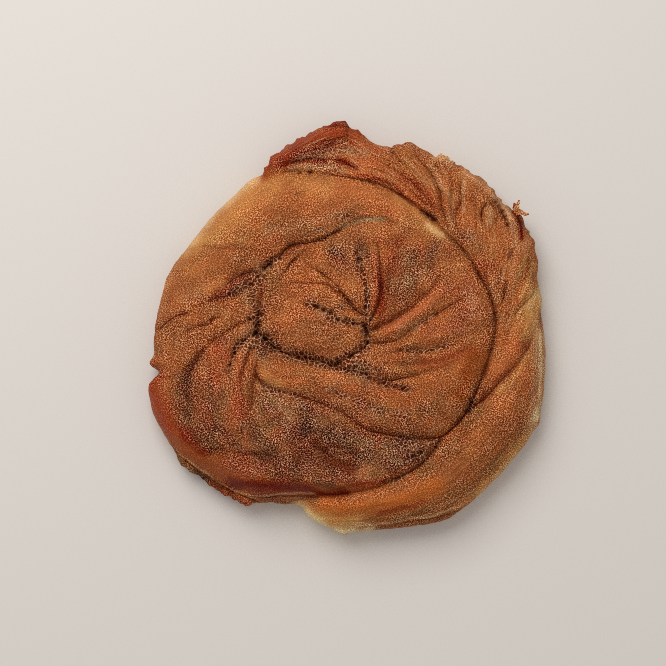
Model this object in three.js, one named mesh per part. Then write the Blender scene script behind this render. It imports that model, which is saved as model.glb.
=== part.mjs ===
// A tahini roll: one rope of layered dough, twisted, coiled flat on itself and baked into one piece.
// Millimetres, +Z up. The origin is the middle of the flat underside.
// +Y points to the torn outer end of the rope.
import * as THREE from "three";
import { mergeVertices } from "three/addons/utils/BufferGeometryUtils.js";

// Driving sizes.
const SHOULDER_HEIGHT = 20.5; // crown of the outer turn
const HEART = { at: [11, -3], spread: 40, rise: 9 }; // the coiled middle, standing above the shoulder
const SWELLS = [
  { at: [-52, -20], spread: 26, rise: 2.5 }, // broad left side of the middle turn
  { at: [-22, -48], spread: 20, rise: 2.5 }, // its plump lower side
  { at: [-18, 50], spread: 18, rise: 2 }, // its smooth upper side
  { at: [0, 70], spread: 16, rise: -5 }, // the torn end, thinner than the rest
  { at: [58, 40], spread: 16, rise: -2 }, // crumpled upper right
];
const EDGE_HEIGHT = 8; // height of the roll's widest line
const EDGE_ROUNDING = 17; // width over which the top rolls over into the side
const TUCK = 6; // how far the side tucks in below the widest line
const LEDGE = { at: 226, spread: 17, drop: 4.5 }; // degrees: where a low, ragged layer peeps out

// Outline seen from above: degrees round from +X, and the radius there.
const OUTLINE = [
  [0, 73.5], [19, 75.3], [27, 76.9], [32.5, 77.5], [37, 75], [48, 75.3], [57, 73.8], [66, 72.5],
  [72, 73.7], [76, 68.8], [82, 69.7], [86, 72], [91, 77.2], [98, 75.7], [106, 72.3], [114, 70.5],
  [119, 65.4], [127, 65.8], [139, 65.9], [153, 67.1], [163, 70.1], [180, 71.8], [189, 74], [193, 72.6],
  [197, 77.4], [210, 78.6], [223, 79], [236, 77], [240, 76], [246, 71.4], [255, 69], [262, 73.2],
  [270, 77], [285, 77.6], [300, 80], [314, 78.5], [325, 79.1], [334, 79.6], [345, 76.9],
];

// Seams and folds: points [x, y, depth], and how far the flanks reach to the left and right of them.
const SEAMS = {
  // between the turns of the rope
  coil: {
    path: [
      [-31, 58, 5], [-18, 58, 6], [-4, 57, 7], [8, 54.8, 8], [21, 48.8, 8], [33, 38.8, 8], [45, 27.5, 8],
      [51.5, 15.5, 9], [55.6, 2, 10], [53, -11, 10], [48, -24, 10], [42.5, -33, 10], [35, -40.5, 10],
      [20, -40.8, 8], [6, -37.5, 7], [-8, -28, 6], [-20, -24.8, 6], [-31, -21, 6], [-34, -15, 5],
    ],
    reach: [11, 15],
  },
  crown: {
    path: [
      [-34, -3, 9], [-33, 4, 10], [-33, 12, 8], [-34, 18.5, 7], [-30.5, 23.3, 7], [-24, 28.5, 7],
      [-16, 31.5, 6], [-6, 36, 6], [3, 40, 5], [11, 40.6, 3], [20, 39, 0],
    ],
    reach: [13, 10],
  },
  heart: {
    path: [
      [-34, -3, 9], [-27, -7, 9], [-20, -10.3, 8], [-10, -12.5, 8], [0, -15.5, 8], [8, -19, 6],
      [15, -21.5, 4], [24, -23, 0],
    ],
    reach: [9, 10],
  },
  leaf: { path: [[6.5, -0.5, 9], [8, -5, 8], [3, -9.5, 7], [-5, -13.5, 7]], reach: [8, 7] },
  tail: {
    path: [[-22, -65, 9], [-10, -63, 9], [3, -61.5, 9], [14, -58.3, 9], [24, -53, 9], [36, -40, 9]],
    reach: [13, 11],
  },
  flank: {
    path: [[45, -29, 9], [51, -26.5, 7], [58, -20, 6], [65, -11.5, 5], [69.3, -2, 4], [70.5, 10, 1]],
    reach: [8, 10],
  },
  // twist folds that fan out from the pinched middle
  leafTop: { path: [[6, 4, 6], [0.5, 9.8, 4], [-5, 17, 3], [-12, 22, 0]], reach: [6, 6] },
  leafMid: { path: [[6, 1.5, 6], [-2, 3.2, 3], [-9, 7, 2.5], [-16, 8.7, 0]], reach: [6, 6] },
  leafSide: { path: [[-31, 16, 4], [-26, 19.5, 3], [-21.5, 24, 3.5], [-14, 31, 2]], reach: [5, 6] },
  fanFirst: { path: [[6.7, 3, 6], [7, 12, 3.5], [5.5, 21, 3], [3.5, 31, 0]], reach: [6, 4] },
  fanSecond: { path: [[8, 2, 6], [12, 11, 5], [12.7, 20, 4.5], [12, 31, 0]], reach: [4, 6] },
  fanThird: { path: [[8.5, -1, 6], [17, 3, 4.5], [26, 9, 4], [36, 20, 0]], reach: [8, 4] },
  fanFourth: { path: [[8, -5, 6], [19, -4.6, 4], [29, 2.5, 3], [41, 9, 0]], reach: [4, 6] },
  fanFifth: { path: [[14, -9.5, 1], [22, -8.3, 3], [34, -7.2, 3], [47, -3, 0]], reach: [6, 6] },
  fanSixth: { path: [[12, -20.5, 6], [19, -18.8, 4], [29, -16.5, 3], [42, -10, 0]], reach: [7, 6] },
  // creases of the torn, crumpled end
  flap: { path: [[-30, 62, 4], [-20, 62.2, 5], [-10, 63.5, 5], [-2, 62.5, 3], [9, 59, 0]], reach: [6, 4] },
  crumpleLeft: { path: [[24, 67, 2], [31, 58, 3], [35, 49.5, 4], [37.5, 39, 3]], reach: [6, 6] },
  crumpleRight: { path: [[43, 59, 1], [42, 49, 3], [41, 40, 3], [43.5, 33, 2]], reach: [6, 6] },
  slit: { path: [[54, 48.5, 2], [58, 44, 4], [60, 38, 2], [61, 28, 0]], reach: [5, 5] },
  // wrinkles that pull the broad left side towards the middle
  pullTop: { path: [[-32, 21, 6], [-40, 17.5, 4], [-52, 11, 0]], reach: [7, 7] },
  pullMid: { path: [[-35, 2, 7], [-43, -0.8, 4], [-52, -6, 3], [-64, -18, 1]], reach: [7, 7] },
  pullLow: { path: [[-36, -6, 6], [-42, -11, 3], [-47, -21, 0]], reach: [5, 5] },
  pullTongue: { path: [[-34.5, -16, 4], [-35.5, -24, 4], [-36.5, -33, 0]], reach: [5, 6] },
  // overhang along the lower left, and the lip under the lower right
  overhang: {
    path: [[-67, -42, 0], [-61, -49, 10], [-52, -56, 12], [-42, -61.5, 12], [-33, -64.5, 10], [-24, -66, 6]],
    reach: [12, 3],
  },
  lip: { path: [[0, -72.5, 0], [18, -69.6, 4], [31, -67, 4], [44, -59.5, 0]], reach: [8, 5] },
};

// How the ball's surface is shared out, and how finely it is split.
const BALL_SPLITS = 23; // cuts along each edge of the icosahedron
const TOP_SHARE = 0.74;
const SIDE_SHARE = 0.13;
const EDGE_CROWDING = 0.2; // draws points out to the edge, where the top is steepest
const SEAM_STEPS = 4; // straight steps between two points of a seam
const SEAM_BLEND = 3; // power of the soft maximum where flanks meet
const SEAM_DRAW = 3; // points nearer a seam than this are drawn in towards it
const FLANK_ROUNDNESS = 1.6; // 1 is a straight slope, 2 a quarter circle

const radians = THREE.MathUtils.degToRad;
const bell = (distance, spread) => Math.exp(-((distance / spread) ** 2));

// Radius of the outline at an angle: a smooth closed curve through the outline's points.
function outlineRadius(angle) {
  const turn = 360;
  const degrees = (THREE.MathUtils.radToDeg(angle) + turn) % turn;
  const count = OUTLINE.length;
  const knot = (i) => {
    const wraps = Math.floor(i / count);
    const [at, radius] = OUTLINE[i - wraps * count];
    return [at + turn * wraps, radius];
  };
  const slope = (i) => {
    const [before, after] = [knot(i - 1), knot(i + 1)];
    return (after[1] - before[1]) / (after[0] - before[0]);
  };
  const i = OUTLINE.findLastIndex(([at]) => at <= degrees);
  const [[a0, r0], [a1, r1]] = [knot(i), knot(i + 1)];
  const span = a1 - a0;
  const t = (degrees - a0) / span;
  const bend = (1 - t) * slope(i) - t * slope(i + 1);
  const chord = (r1 - r0) / span;
  return r0 + (r1 - r0) * t + t * (1 - t) * span * (bend - chord * (1 - 2 * t));
}

// Each seam as short straight steps, from a smooth curve through its points.
const seamLines = Object.values(SEAMS).map(({ path, reach }) => {
  const points = path.map((p) => new THREE.Vector3(...p));
  const curve = new THREE.CatmullRomCurve3(points, false, "catmullrom");
  return { line: curve.getPoints(SEAM_STEPS * (path.length - 1)), reach };
});

// The point of a seam's line that is nearest to x, y, with its depth and the side x, y is on.
function nearestOn({ line, reach }, x, y) {
  let nearest = { distance: Infinity };
  for (let i = 1; i < line.length; i++) {
    const [a, b] = [line[i - 1], line[i]];
    const [dx, dy] = [b.x - a.x, b.y - a.y];
    const along = ((x - a.x) * dx + (y - a.y) * dy) / (dx * dx + dy * dy);
    const point = a.clone().lerp(b, THREE.MathUtils.clamp(along, 0, 1));
    const distance = Math.hypot(x - point.x, y - point.y);
    if (distance < nearest.distance) {
      const side = dx * (y - a.y) - dy * (x - a.x) > 0 ? 0 : 1;
      nearest = { distance, point, reach: reach[side], depth: Math.max(point.z, 0) };
    }
  }
  return nearest;
}

// Depth below the crown: each seam has two round flanks that meet along its line.
function seamDepth(x, y) {
  let total = 0;
  for (const seam of seamLines) {
    const { distance, reach, depth } = nearestOn(seam, x, y);
    const inward = 1 - Math.min(distance / reach, 1);
    const flank = 1 - (1 - inward ** FLANK_ROUNDNESS) ** (1 / FLANK_ROUNDNESS);
    total += (depth * flank) ** SEAM_BLEND;
  }
  return total ** (1 / SEAM_BLEND);
}

// Moves a point close to a seam closer still, so that the mesh follows the seam's line.
function drawToSeam(x, y) {
  const found = seamLines.map((seam) => nearestOn(seam, x, y));
  const { distance, point } = found.reduce((best, next) => (next.distance < best.distance ? next : best));
  const pull = Math.max(1 - distance / SEAM_DRAW, 0);
  return [x + (point.x - x) * pull, y + (point.y - y) * pull];
}

function crownHeight(x, y) {
  const rise = [HEART, ...SWELLS].map((s) => s.rise * bell(Math.hypot(x - s.at[0], y - s.at[1]), s.spread));
  return rise.reduce((sum, r) => sum + r, SHOULDER_HEIGHT);
}

function edgeHeight(angle) {
  const away = Math.abs(radians(LEDGE.at) - ((angle + 2 * Math.PI) % (2 * Math.PI)));
  return EDGE_HEIGHT - LEDGE.drop * bell(away, radians(LEDGE.spread));
}

// Carries a point of a unit ball to the roll: its upper part becomes the top, a belt of it the side,
// and the rest the underside.
function rollPoint(direction) {
  const angle = Math.atan2(direction.y, direction.x);
  const edge = outlineRadius(angle);
  const rim = edgeHeight(angle);
  const above = (1 - direction.z) / 2; // share of the ball's surface above this point
  const belt = (above - TOP_SHARE) / SIDE_SHARE;
  if (belt <= 0) {
    const s = Math.sqrt(above / TOP_SHARE);
    const out = edge * s * (1 + EDGE_CROWDING * (1 - s * s));
    const inset = (edge - out) / EDGE_ROUNDING;
    const [x0, y0] = [out * Math.cos(angle), out * Math.sin(angle)];
    const [x, y] = inset > 0.2 ? drawToSeam(x0, y0) : [x0, y0];
    const rounding = Math.sqrt(1 - Math.max(1 - inset, 0) ** 2);
    return [x, y, rim + (crownHeight(x, y) - seamDepth(x, y) - rim) * rounding];
  }
  const turn = (Math.min(belt, 1) * Math.PI) / 2;
  const foot = Math.sqrt(Math.min((1 - above) / (1 - TOP_SHARE - SIDE_SHARE), 1));
  const radius = (edge - TUCK * (1 - Math.cos(turn))) * foot;
  return [radius * Math.cos(angle), radius * Math.sin(angle), rim * (1 - Math.sin(turn))];
}

function rollGeometry() {
  const ball = new THREE.IcosahedronGeometry(1, BALL_SPLITS);
  ball.deleteAttribute("normal");
  ball.deleteAttribute("uv");
  const geometry = mergeVertices(ball);
  const position = geometry.getAttribute("position");
  for (let i = 0; i < position.count; i++) {
    const direction = new THREE.Vector3().fromBufferAttribute(position, i).normalize();
    position.setXYZ(i, ...rollPoint(direction));
  }
  geometry.computeBoundingBox();
  const middle = geometry.boundingBox.getCenter(new THREE.Vector3());
  geometry.translate(-middle.x, -middle.y, 0);
  geometry.computeVertexNormals();
  return geometry;
}

const crust = new THREE.MeshStandardMaterial({ color: 0x8b5030, roughness: 0.6, metalness: 0 });
const roll = new THREE.Mesh(rollGeometry(), crust);
roll.name = "roll";

const tahiniRoll = new THREE.Group();
tahiniRoll.add(roll);

export default tahiniRoll;
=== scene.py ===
import math

import bmesh
import bpy
import numpy as np
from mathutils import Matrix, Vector, kdtree, noise


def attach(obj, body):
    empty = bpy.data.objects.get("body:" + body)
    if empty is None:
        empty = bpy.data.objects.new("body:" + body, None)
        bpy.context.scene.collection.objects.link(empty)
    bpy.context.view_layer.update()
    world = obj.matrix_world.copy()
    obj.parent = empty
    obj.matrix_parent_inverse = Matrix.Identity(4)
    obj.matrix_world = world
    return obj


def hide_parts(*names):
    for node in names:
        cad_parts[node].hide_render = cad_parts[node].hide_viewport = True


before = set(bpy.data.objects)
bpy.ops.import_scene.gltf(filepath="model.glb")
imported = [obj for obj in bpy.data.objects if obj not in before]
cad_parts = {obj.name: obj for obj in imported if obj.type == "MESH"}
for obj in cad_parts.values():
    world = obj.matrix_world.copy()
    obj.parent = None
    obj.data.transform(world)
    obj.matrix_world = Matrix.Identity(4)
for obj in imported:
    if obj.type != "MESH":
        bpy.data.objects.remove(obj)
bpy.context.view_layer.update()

# Roll, sizes in millimetres, angles in degrees round from +X
roll = {
    "ballCuts": 98,  # cuts along each edge of the icosahedron the mesh starts from
    "topShare": 0.84,  # share of its surface that becomes the top
    "sideShare": 0.1,
    "edgeCrowding": 0.2,  # moves points of the top out to the rim
    "shoulder": 20.5,  # crown of the outer turn
    "swells": [  # x, y, spread, rise
        (11, -3, 40, 9), (-52, -20, 26, 2.5), (-22, -48, 20, 2.5), (-18, 50, 18, 2),
        (0, 70, 16, -5), (26, 58, 12, -3), (45, 45, 12, -3), (58, 30, 12, -2),
    ],
    "edgeHeight": 8,  # height of the widest line
    "edgeRounding": 16,
    "tornRounding": 6,  # the torn outer end has a thinner edge
    "tornFrom": 18,
    "tornTo": 119,
    "tornBlend": 8,
    "tuck": 6,  # how far the side runs in below the widest line
    "ledgeAt": 227,  # the rim hangs lower here
    "ledgeSpread": 17,
    "ledgeDrop": 4.5,
    "ragged": [(40, 26, 0.8), (100, 20, 1.0), (230, 13, 1.3), (275, 22, 0.25)],  # angle, spread, depth
    "raggedGrain": [(2.2, 1.0, 1), (0.9, 2.0, 0.8)],  # size, shift, share
    "raggedRadius": 75,
    "raggedFade": 10,  # higher keeps the raggedness closer to the rim
    "rimWindow": (40, 16),  # reach and spread of the smoothing inside the rim, in quarter degrees
    "seamBlend": 3.5,  # how sharply crossing folds join
    "flankRoundness": 1.9,
    "seamDraw": 1.3,  # points this close to a deep seam move closer
    "deepSeams": [
        "coilTop", "coil", "tongue", "crown", "heart", "leaf", "tail", "flank", "overhang", "flap",
        "crumpleA", "fanB",
    ],
    "lineWidth": 0.38,  # of the painted shade line in a crease, where the fold gives none
    "lineReach": 4,
    "noLine": 9.0,  # distance in widths where no line is near
    "streakHeight": 0.6,
    "streakWidth": 0.9,
    "streakSlant": (0.65, 0.3),  # on the right and on the left of +Y
    "streakTurn": 9,  # degrees along a streak for each step across it
    "wrinkleHeight": 0.22,
    "pinch": (7, -3),  # where the folds of the middle meet
    "fanWrinkles": (11, 7),  # wrinkles round the pinch, length along each
    "ringWrinkles": (8, 1.7),
    "heartPlace": (11, -3),
    "heartRadius": 42,
    "lumps": [(9, 0.5), (4, 0.3), (1.9, 0.12)],  # size, height
    "baseFade": 3,  # height below which the lumps flatten out
    "poreDepth": 1.8,  # in sizes of the pore
    # spread of the painted shade in each pore's hole, in sizes of the pore
    "poreDark": 0.7,
    "eye": (-5.5, -43.6, 711),  # the plan below is drawn as seen from here, at the height of the widest line
    "pores": [  # big open pores: x, y, size
        (-31.4, 22.6, 1.2), (-29.6, 24, 1.0), (-33, 19.2, 0.8), (-35.6, 16, 0.7), (6.6, -1.2, 1.2),
        (7.4, -2.6, 1.0), (7.8, -5.6, 1.1), (6.2, 0.8, 0.8), (27.2, -46.2, 1.1), (24.6, -47.6, 0.8),
        (22.4, -48.8, 0.7), (4.2, 25.2, 1.1), (3.2, 28, 0.6), (5.4, 22.8, 0.7), (6.8, 10.8, 0.6),
        (6.6, 7.6, 0.8), (-0.6, 2.8, 1.0), (-3.6, 2.9, 0.9), (2.6, 1.6, 0.8), (-6.6, 5.6, 0.9),
        (-9, 6.6, 0.8), (-11.6, 7.8, 0.9), (-33.4, 1, 1.2), (-34.6, -2.4, 1.1), (-32.8, 5.2, 1.0),
        (-36.6, 3.4, 0.8), (-38.4, -4.6, 0.8), (-31, -4.6, 1.1), (-34, -5.4, 1.0), (-27.6, -7.6, 0.9),
        (-3.6, -13.2, 1.2), (-6.4, -13.8, 0.9), (0.4, -12.8, 0.9), (3, -14.6, 0.8), (1.4, -10.4, 0.9),
        (-14, 58.4, 0.8), (-18, 58, 0.6), (20.4, -22.8, 0.8), (17.6, -22, 0.7), (46.2, -28, 1.2),
        (45, -31, 1.3), (-43.6, -13.6, 0.8), (-42, -9.4, 0.7), (29.4, 1.8, 0.7), (33, 4.9, 0.7),
        (55.5, 47.3, 1.2), (56.7, 45.5, 1.0), (57.8, 43.4, 1.3), (58.7, 41.5, 1.2), (59.9, 38.6, 0.8),
    ],
    "outline": [  # clockwise from the tip of the torn end
        (-0.3, 78.5), (0.1, 75.5), (3.9, 74.5), (4.6, 73.6), (7, 71.2), (10, 69.4), (13, 68.2), (16, 67.5),
        (17, 66.4), (17.8, 68.6), (20.8, 68.9), (23, 70.4), (28, 67.3), (34, 64.2), (36, 65.2), (40, 62),
        (46, 59), (50, 56.8), (55.5, 50.5), (60, 45.5), (62.5, 43.8), (66, 40.6), (68, 36), (70, 31.5),
        (70.4, 27.5), (71.2, 24.4), (70.6, 18.2), (72.5, 10.5), (72, 5.6), (73, 1), (73.5, -8), (73.4, -20),
        (72, -29), (71, -35), (67, -41.5), (60, -50.5), (49.6, -61.4), (42.7, -67), (37, -70.6),
        (27, -73.2), (10, -75), (1, -76), (-1, -76.9), (-3, -75.8), (-8, -73.8), (-14.2, -70.7), (-18, -66),
        (-25, -65.3), (-34, -65), (-37.4, -66), (-42, -64), (-44, -62), (-46, -62.6), (-48, -60.4),
        (-53.2, -57.8), (-56.7, -54.7), (-62.2, -50.2), (-64.9, -45.9), (-70, -36.5), (-73.5, -28),
        (-74.4, -22), (-72.5, -19.3), (-70.4, -17.4), (-71, -15.5), (-74, -13), (-72.2, -10), (-72.5, -5),
        (-71, 5), (-68.7, 14.5), (-66.2, 21.5), (-60, 30), (-50, 42.5), (-40, 52.2), (-35, 56.2),
        (-31.8, 57.2), (-31.2, 60), (-29.8, 61.4), (-29, 64.6), (-26.6, 65.4), (-23.4, 68.4), (-20, 69.6),
        (-14.6, 72.8), (-10, 75.7), (-6.8, 76.7), (-5, 78),
    ],
    # reach of the flanks left and right, flat floor, width of the painted shade line; points: x, y, depth,
    # how much shade the line paints
    "folds": {
        # seams between the turns
        "coilTop": {"reach": (1.6, 9), "floor": 0.2, "width": 0.3, "path": [
            (-31, 57.2, 1.2, 0.1), (-25, 58.8, 1.6, 0.15), (-19, 58.6, 1.4, 0.05), (-12, 58.2, 1.4, 0.05),
            (-5, 57.3, 1.8, 0.05), (2, 56.2, 2.4, 0.2), (8, 54.9, 2.4, 0.3), (14, 52.8, 2.4, 0.3),
            (20, 49.8, 2.6, 0.4), (25, 46, 2.8, 0.4), (30, 42.2, 2.8, 0.5), (34, 38.3, 2.2, 0.4),
            (38, 34.2, 2, 0.5), (42, 30.6, 1.6, 0.6), (46, 25.6, 0.4, 0.7),
        ]},
        "coil": {"reach": (3, 10), "floor": 0.2, "path": [
            (34, 38.4, 0.6, 0.4), (38, 34.2, 1.6, 0.5), (42, 30.6, 2.4, 0.6), (46, 25.6, 2.8, 0.7),
            (49.2, 19.5, 3, 0.9), (52.2, 14.4, 3.2, 0.7), (54.2, 8.5, 3.4, 0.9), (55.3, 2, 3.6, 0.75),
            (54.7, -4.5, 3.6, 0.4), (52.9, -10.5, 3.8, 0.45), (50.9, -16.8, 4, 0.65), (48.2, -23, 4, 0.85),
            (45.8, -28.4, 4, 0.7), (42.8, -33.4, 4.4, 0.8), (39.1, -37.4, 4.4, 0.9), (35.4, -40.2, 4, 0.8),
            (31.4, -41.2, 2, 0.9),
        ]},
        "tongue": {"reach": (5, 9), "floor": 0.4, "path": [
            (38, -38.4, 2, 0.6), (35.2, -40.4, 4.4, 0.8), (28, -41.4, 4.4, 1), (21, -40.8, 4, 1),
            (14, -39.4, 3.6, 0.9), (7, -37.9, 3.4, 0.8), (1, -33.6, 3, 0.8), (-5, -30.2, 2.4, 0.5),
            (-12, -27.4, 2.8, 1), (-19, -25, 2.6, 1), (-26, -23.5, 3, 0.9), (-31.7, -20.8, 3.2, 0.9),
            (-34.2, -16.5, 2.8, 0.7), (-33.2, -12, 1.8, 0.2),
        ]},
        "tongueStep": {"reach": (2, 3), "width": 0.35, "path": [
            (-14, -20.6, 0.2, 0.1), (-10, -22, 0.6, 0.3), (-3, -23.6, 0.7, 0.25), (3.3, -25.5, 0.8, 0.35),
            (8, -28, 0.8, 0.4), (13.2, -30.5, 0.7, 0.4), (19, -31, 0.5, 0.2), (24, -31.2, 0, 0),
        ]},
        "gapLow": {"reach": (2, 2), "width": 0.7, "path": [
            (46, -28, 4, 0.5), (42.9, -33.3, 5.4, 0.6), (39.2, -37.3, 5.4, 0.6), (35.4, -40.4, 4.6, 0.5),
        ]},
        "gapTop": {"reach": (1.2, 1.2), "width": 0.6, "path": [
            (28.6, 43.6, 3, 0.2), (30.4, 42.2, 4.6, 0.8), (32.6, 40.4, 4.4, 0.7), (34.4, 38.6, 3, 0.2),
        ]},
        "gapUpper": {"reach": (1.2, 1.2), "width": 0.6, "path": [
            (18.6, 50.6, 2.6, 0.2), (20.6, 49.4, 3, 0.4), (23.4, 47.4, 3, 0.4), (25, 46, 2.6, 0.3),
        ]},
        "lipLine": {"reach": (3, 1), "width": 0.35, "path": [
            (4, 57.8, 0.6, 0.3), (9, 57, 1.2, 0.6), (13, 55.3, 1.6, 0.5), (17, 53.3, 1.6, 0.5),
            (20.5, 50.8, 1.4, 0.5),
        ]},
        "lipLow": {"reach": (3, 1), "width": 0.35, "path": [
            (36, 38.6, 0.4, 0.1), (42, 32.8, 1, 0.35), (46.4, 28, 1.2, 0.4), (49.8, 23, 1.2, 0.4),
            (52.6, 17.6, 0.8, 0.3), (55.4, 11, 0.2, 0.1),
        ]},
        "crown": {"reach": (12, 9), "floor": 0.3, "path": [
            (-34, -2, 6, 1), (-33.2, 3, 6.5, 0.7), (-33.2, 7, 6, 0.9), (-32.2, 11, 5, 0.4),
            (-32, 16, 4, 0.2), (-31.8, 20, 4.4, 0.4), (-30.3, 22.8, 6, 0.8), (-27.7, 25.6, 5, 0.4),
            (-25.3, 26.8, 5.5, 0.9), (-23, 29.6, 5, 0.6), (-20, 31.2, 5, 0.7), (-16, 31.7, 4.2, 0.6),
            (-12, 32.5, 3.2, 0.2), (-8, 34, 2.8, 0.2), (-4, 36, 2.6, 0.2), (0, 38.6, 2.6, 0.1),
            (4, 40.6, 2.4, 0.4), (9, 41.6, 2.2, 0.15), (14, 40.8, 1.8, 0.1), (17, 39.7, 1.4, 0.6),
            (19, 39.3, 0.8, 0.2), (26, 37.5, 0, 0),
        ]},
        "heart": {"reach": (8, 9), "floor": 0.4, "width": 0.6, "path": [
            (-34, -2, 6.5, 0.9), (-30.2, -4.6, 6.5, 0.9), (-27, -7.4, 6.5, 0.9), (-23, -9.5, 6.5, 0.9),
            (-18, -10.9, 6.5, 1), (-12, -12.2, 6, 1), (-6, -13.8, 5, 0.6), (0, -15.8, 4.6, 0.5),
            (5, -16.7, 4.4, 0.5), (9.5, -19.5, 4.6, 0.6), (13, -21, 4.2, 0.8), (17, -22, 2.6, 0.3),
            (23, -23, 1.2, 0.2), (30, -23.4, 0, 0.1),
        ]},
        "leaf": {"reach": (6, 7), "floor": 0.4, "width": 0.6, "path": [
            (6.5, 0.5, 5, 0.7), (7.3, -2, 5.6, 0.8), (7.5, -5.5, 5.6, 0.8), (5, -8.4, 4.6, 0.6),
            (1, -10.4, 4.2, 0.6), (-4, -13.6, 4.2, 0.6),
        ]},
        "tail": {"reach": (9, 8), "floor": 0.2, "path": [
            (-26, -65, 4, 0.2), (-19, -64, 5, 0.2), (-12, -62.4, 5, 0.3), (-5, -62, 4.4, 0.3),
            (3, -61, 4.2, 0.2), (9, -60, 4, 0.1), (15, -57.6, 4.2, 0.2), (21, -54.8, 4.6, 0.5),
            (26, -51.7, 5, 0.6), (29.6, -48.6, 5.4, 0.7), (31.5, -46, 5.4, 0.5), (34.5, -41.8, 5.6, 0.7),
        ]},
        "flank": {"reach": (7, 8), "floor": 0.2, "width": 0.4, "path": [
            (45, -30.3, 5.4, 0.7), (48.5, -28.2, 5, 0.65), (52, -25.3, 4.4, 0.5), (56, -20.8, 3.8, 0.35),
            (59.8, -16.9, 3.4, 0.35), (63.6, -13.4, 3.4, 0.3), (66.2, -9.2, 3, 0.25),
            (68.2, -5.4, 2.6, 0.2), (69.8, -2, 1.6, 0.1), (70.6, 2, 0, 0),
        ]},
        # folds that fan out from the pinched middle
        "leafTop": {"reach": (3.5, 4), "path": [
            (6, 4.6, 4, 0.9), (3, 6.8, 3.6, 1), (0, 10.2, 3.6, 1), (-2, 13, 3, 0.9), (-4.4, 16.4, 2.6, 0.8),
            (-9, 20, 2.2, 1), (-13, 22.6, 1, 0.6), (-17, 24, 0, 0),
        ]},
        "leafMid": {"reach": (4, 2), "path": [
            (-0.8, 11.4, 3, 0.8), (-4.5, 14, 2.4, 0.7), (-8, 16.3, 1.8, 0.6), (-14, 16.8, 1.2, 0.5),
            (-20, 16.8, 0.6, 0.4), (-24, 15.4, 0, 0),
        ]},
        "leafLow": {"reach": (3.5, 3.5), "width": 0.6, "path": [
            (6, 2, 4, 0.9), (2.5, 1.5, 2.6, 0.9), (-3.6, 3, 2, 0.4), (-6.5, 5.6, 1.8, 0.4),
            (-11.6, 7.6, 1.4, 0.5), (-14.5, 9, 1, 0.4), (-19, 9.6, 0, 0.1),
        ]},
        "leafSide": {"reach": (3, 2), "path": [
            (-25.5, 18.5, 0.6, 0.2), (-23, 22, 1.6, 0.8), (-21.6, 23.8, 2.6, 1), (-19.4, 26.2, 2.4, 0.8),
            (-17.2, 28.4, 2, 0.7), (-14.8, 30.2, 2, 0.4),
        ]},
        "leafBelly": {"reach": (2.5, 2.5), "path": [
            (-20, -8, 0.4, 0.1), (-12, -7.2, 0.9, 0.3), (-5, -4.6, 0.7, 0.2), (0, -3, 0, 0),
        ]},
        "leafCrease": {"reach": (2, 2), "path": [
            (-24, 11, 0, 0), (-18, 12, 0.7, 0.3), (-12, 11, 0.8, 0.4), (-8, 11.6, 0, 0),
        ]},
        "fanA": {"reach": (3, 2.5), "width": 0.55, "path": [
            (6.6, 3.5, 4, 0.9), (6.9, 8, 2.2, 0.5), (7.1, 13, 1.8, 0.4), (6.4, 18, 1.6, 0.3),
            (4.2, 26, 1.6, 0.2), (3.2, 30, 0.8, 0.1),
        ]},
        "fanB": {"reach": (2.4, 3.6), "path": [
            (8.4, 2.6, 3, 0.6), (10.6, 6.6, 2.4, 0.7), (12, 11, 2.2, 0.8), (12.5, 16, 2, 0.8),
            (12.2, 22, 1.6, 0.6), (11.8, 27, 1.4, 0.7), (11.2, 32, 0.4, 0.4),
        ]},
        "fanB2": {"reach": (1.8, 4), "path": [
            (13.6, 6, 1.2, 0.2), (15, 12, 1.8, 0.4), (15.4, 18, 1.8, 0.3), (15, 29, 0, 0),
        ]},
        "fanC": {"reach": (6, 2.6), "path": [
            (9, -1, 5, 0.8), (13, 1, 3.8, 0.7), (17.6, 3.2, 3.4, 0.7), (23, 7.2, 3.4, 0.8),
            (28, 11.2, 2.8, 0.5), (31.4, 14.4, 2.2, 0.5), (33.6, 18, 1.4, 0.4), (36, 22, 0, 0),
        ]},
        "fanD": {"reach": (3, 4.5), "path": [
            (8.5, -5.6, 4, 0.8), (14, -5.5, 2.6, 0.6), (19.5, -4, 2.4, 0.5), (23.6, -0.4, 2.4, 0.5),
            (28, 2.4, 2.2, 0.7), (33, 5, 1.6, 0.4), (36.6, 7.3, 1.6, 0.7), (41, 10.2, 1, 0.6),
            (45, 12.6, 0, 0),
        ]},
        "fanE": {"reach": (4, 3), "path": [
            (16, -9, 0.8, 0.3), (22, -8.5, 1.8, 0.6), (28, -8.7, 2, 0.6), (36.5, -6.8, 1.6, 0.7),
            (45, -4.5, 0, 0),
        ]},
        "fanF": {"reach": (6, 4.5), "path": [
            (10.5, -19.6, 4, 0.7), (15, -19.8, 3.6, 1), (21, -18.5, 3, 1), (26, -17.6, 2, 0.4),
            (38, -13.4, 0.8, 0.2), (46, -9, 0, 0),
        ]},
        "fanG": {"reach": (3, 3), "path": [
            (24, -13.6, 0.6, 0.2), (32, -13.3, 1.2, 0.3), (40, -10.5, 1, 0.3), (47, -6, 0, 0),
        ]},
        "fanH": {"reach": (2.5, 2.5), "path": [
            (16.5, -21.8, 1.4, 0.4), (19.5, -23, 1.2, 0.5), (24, -22.8, 0.8, 0.2), (30, -21.5, 0, 0),
        ]},
        # the torn, crumpled end
        "flap": {"reach": (5, 2.5), "width": 0.5, "path": [
            (-28, 58.4, 0.6, 0.1), (-24, 60.6, 1.6, 0.3), (-21.4, 62, 2, 0.5), (-17.6, 62.8, 2, 0.4),
            (-14, 63.6, 2, 0.4), (-8, 63.3, 1.8, 0.4), (-4, 63, 1.8, 0.4), (-1.4, 62.2, 1.8, 0.4),
            (0.6, 61.2, 1.8, 0.5), (3.2, 59.9, 1, 0.3),
        ]},
        "flapFold": {"reach": (2, 2), "path": [
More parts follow.
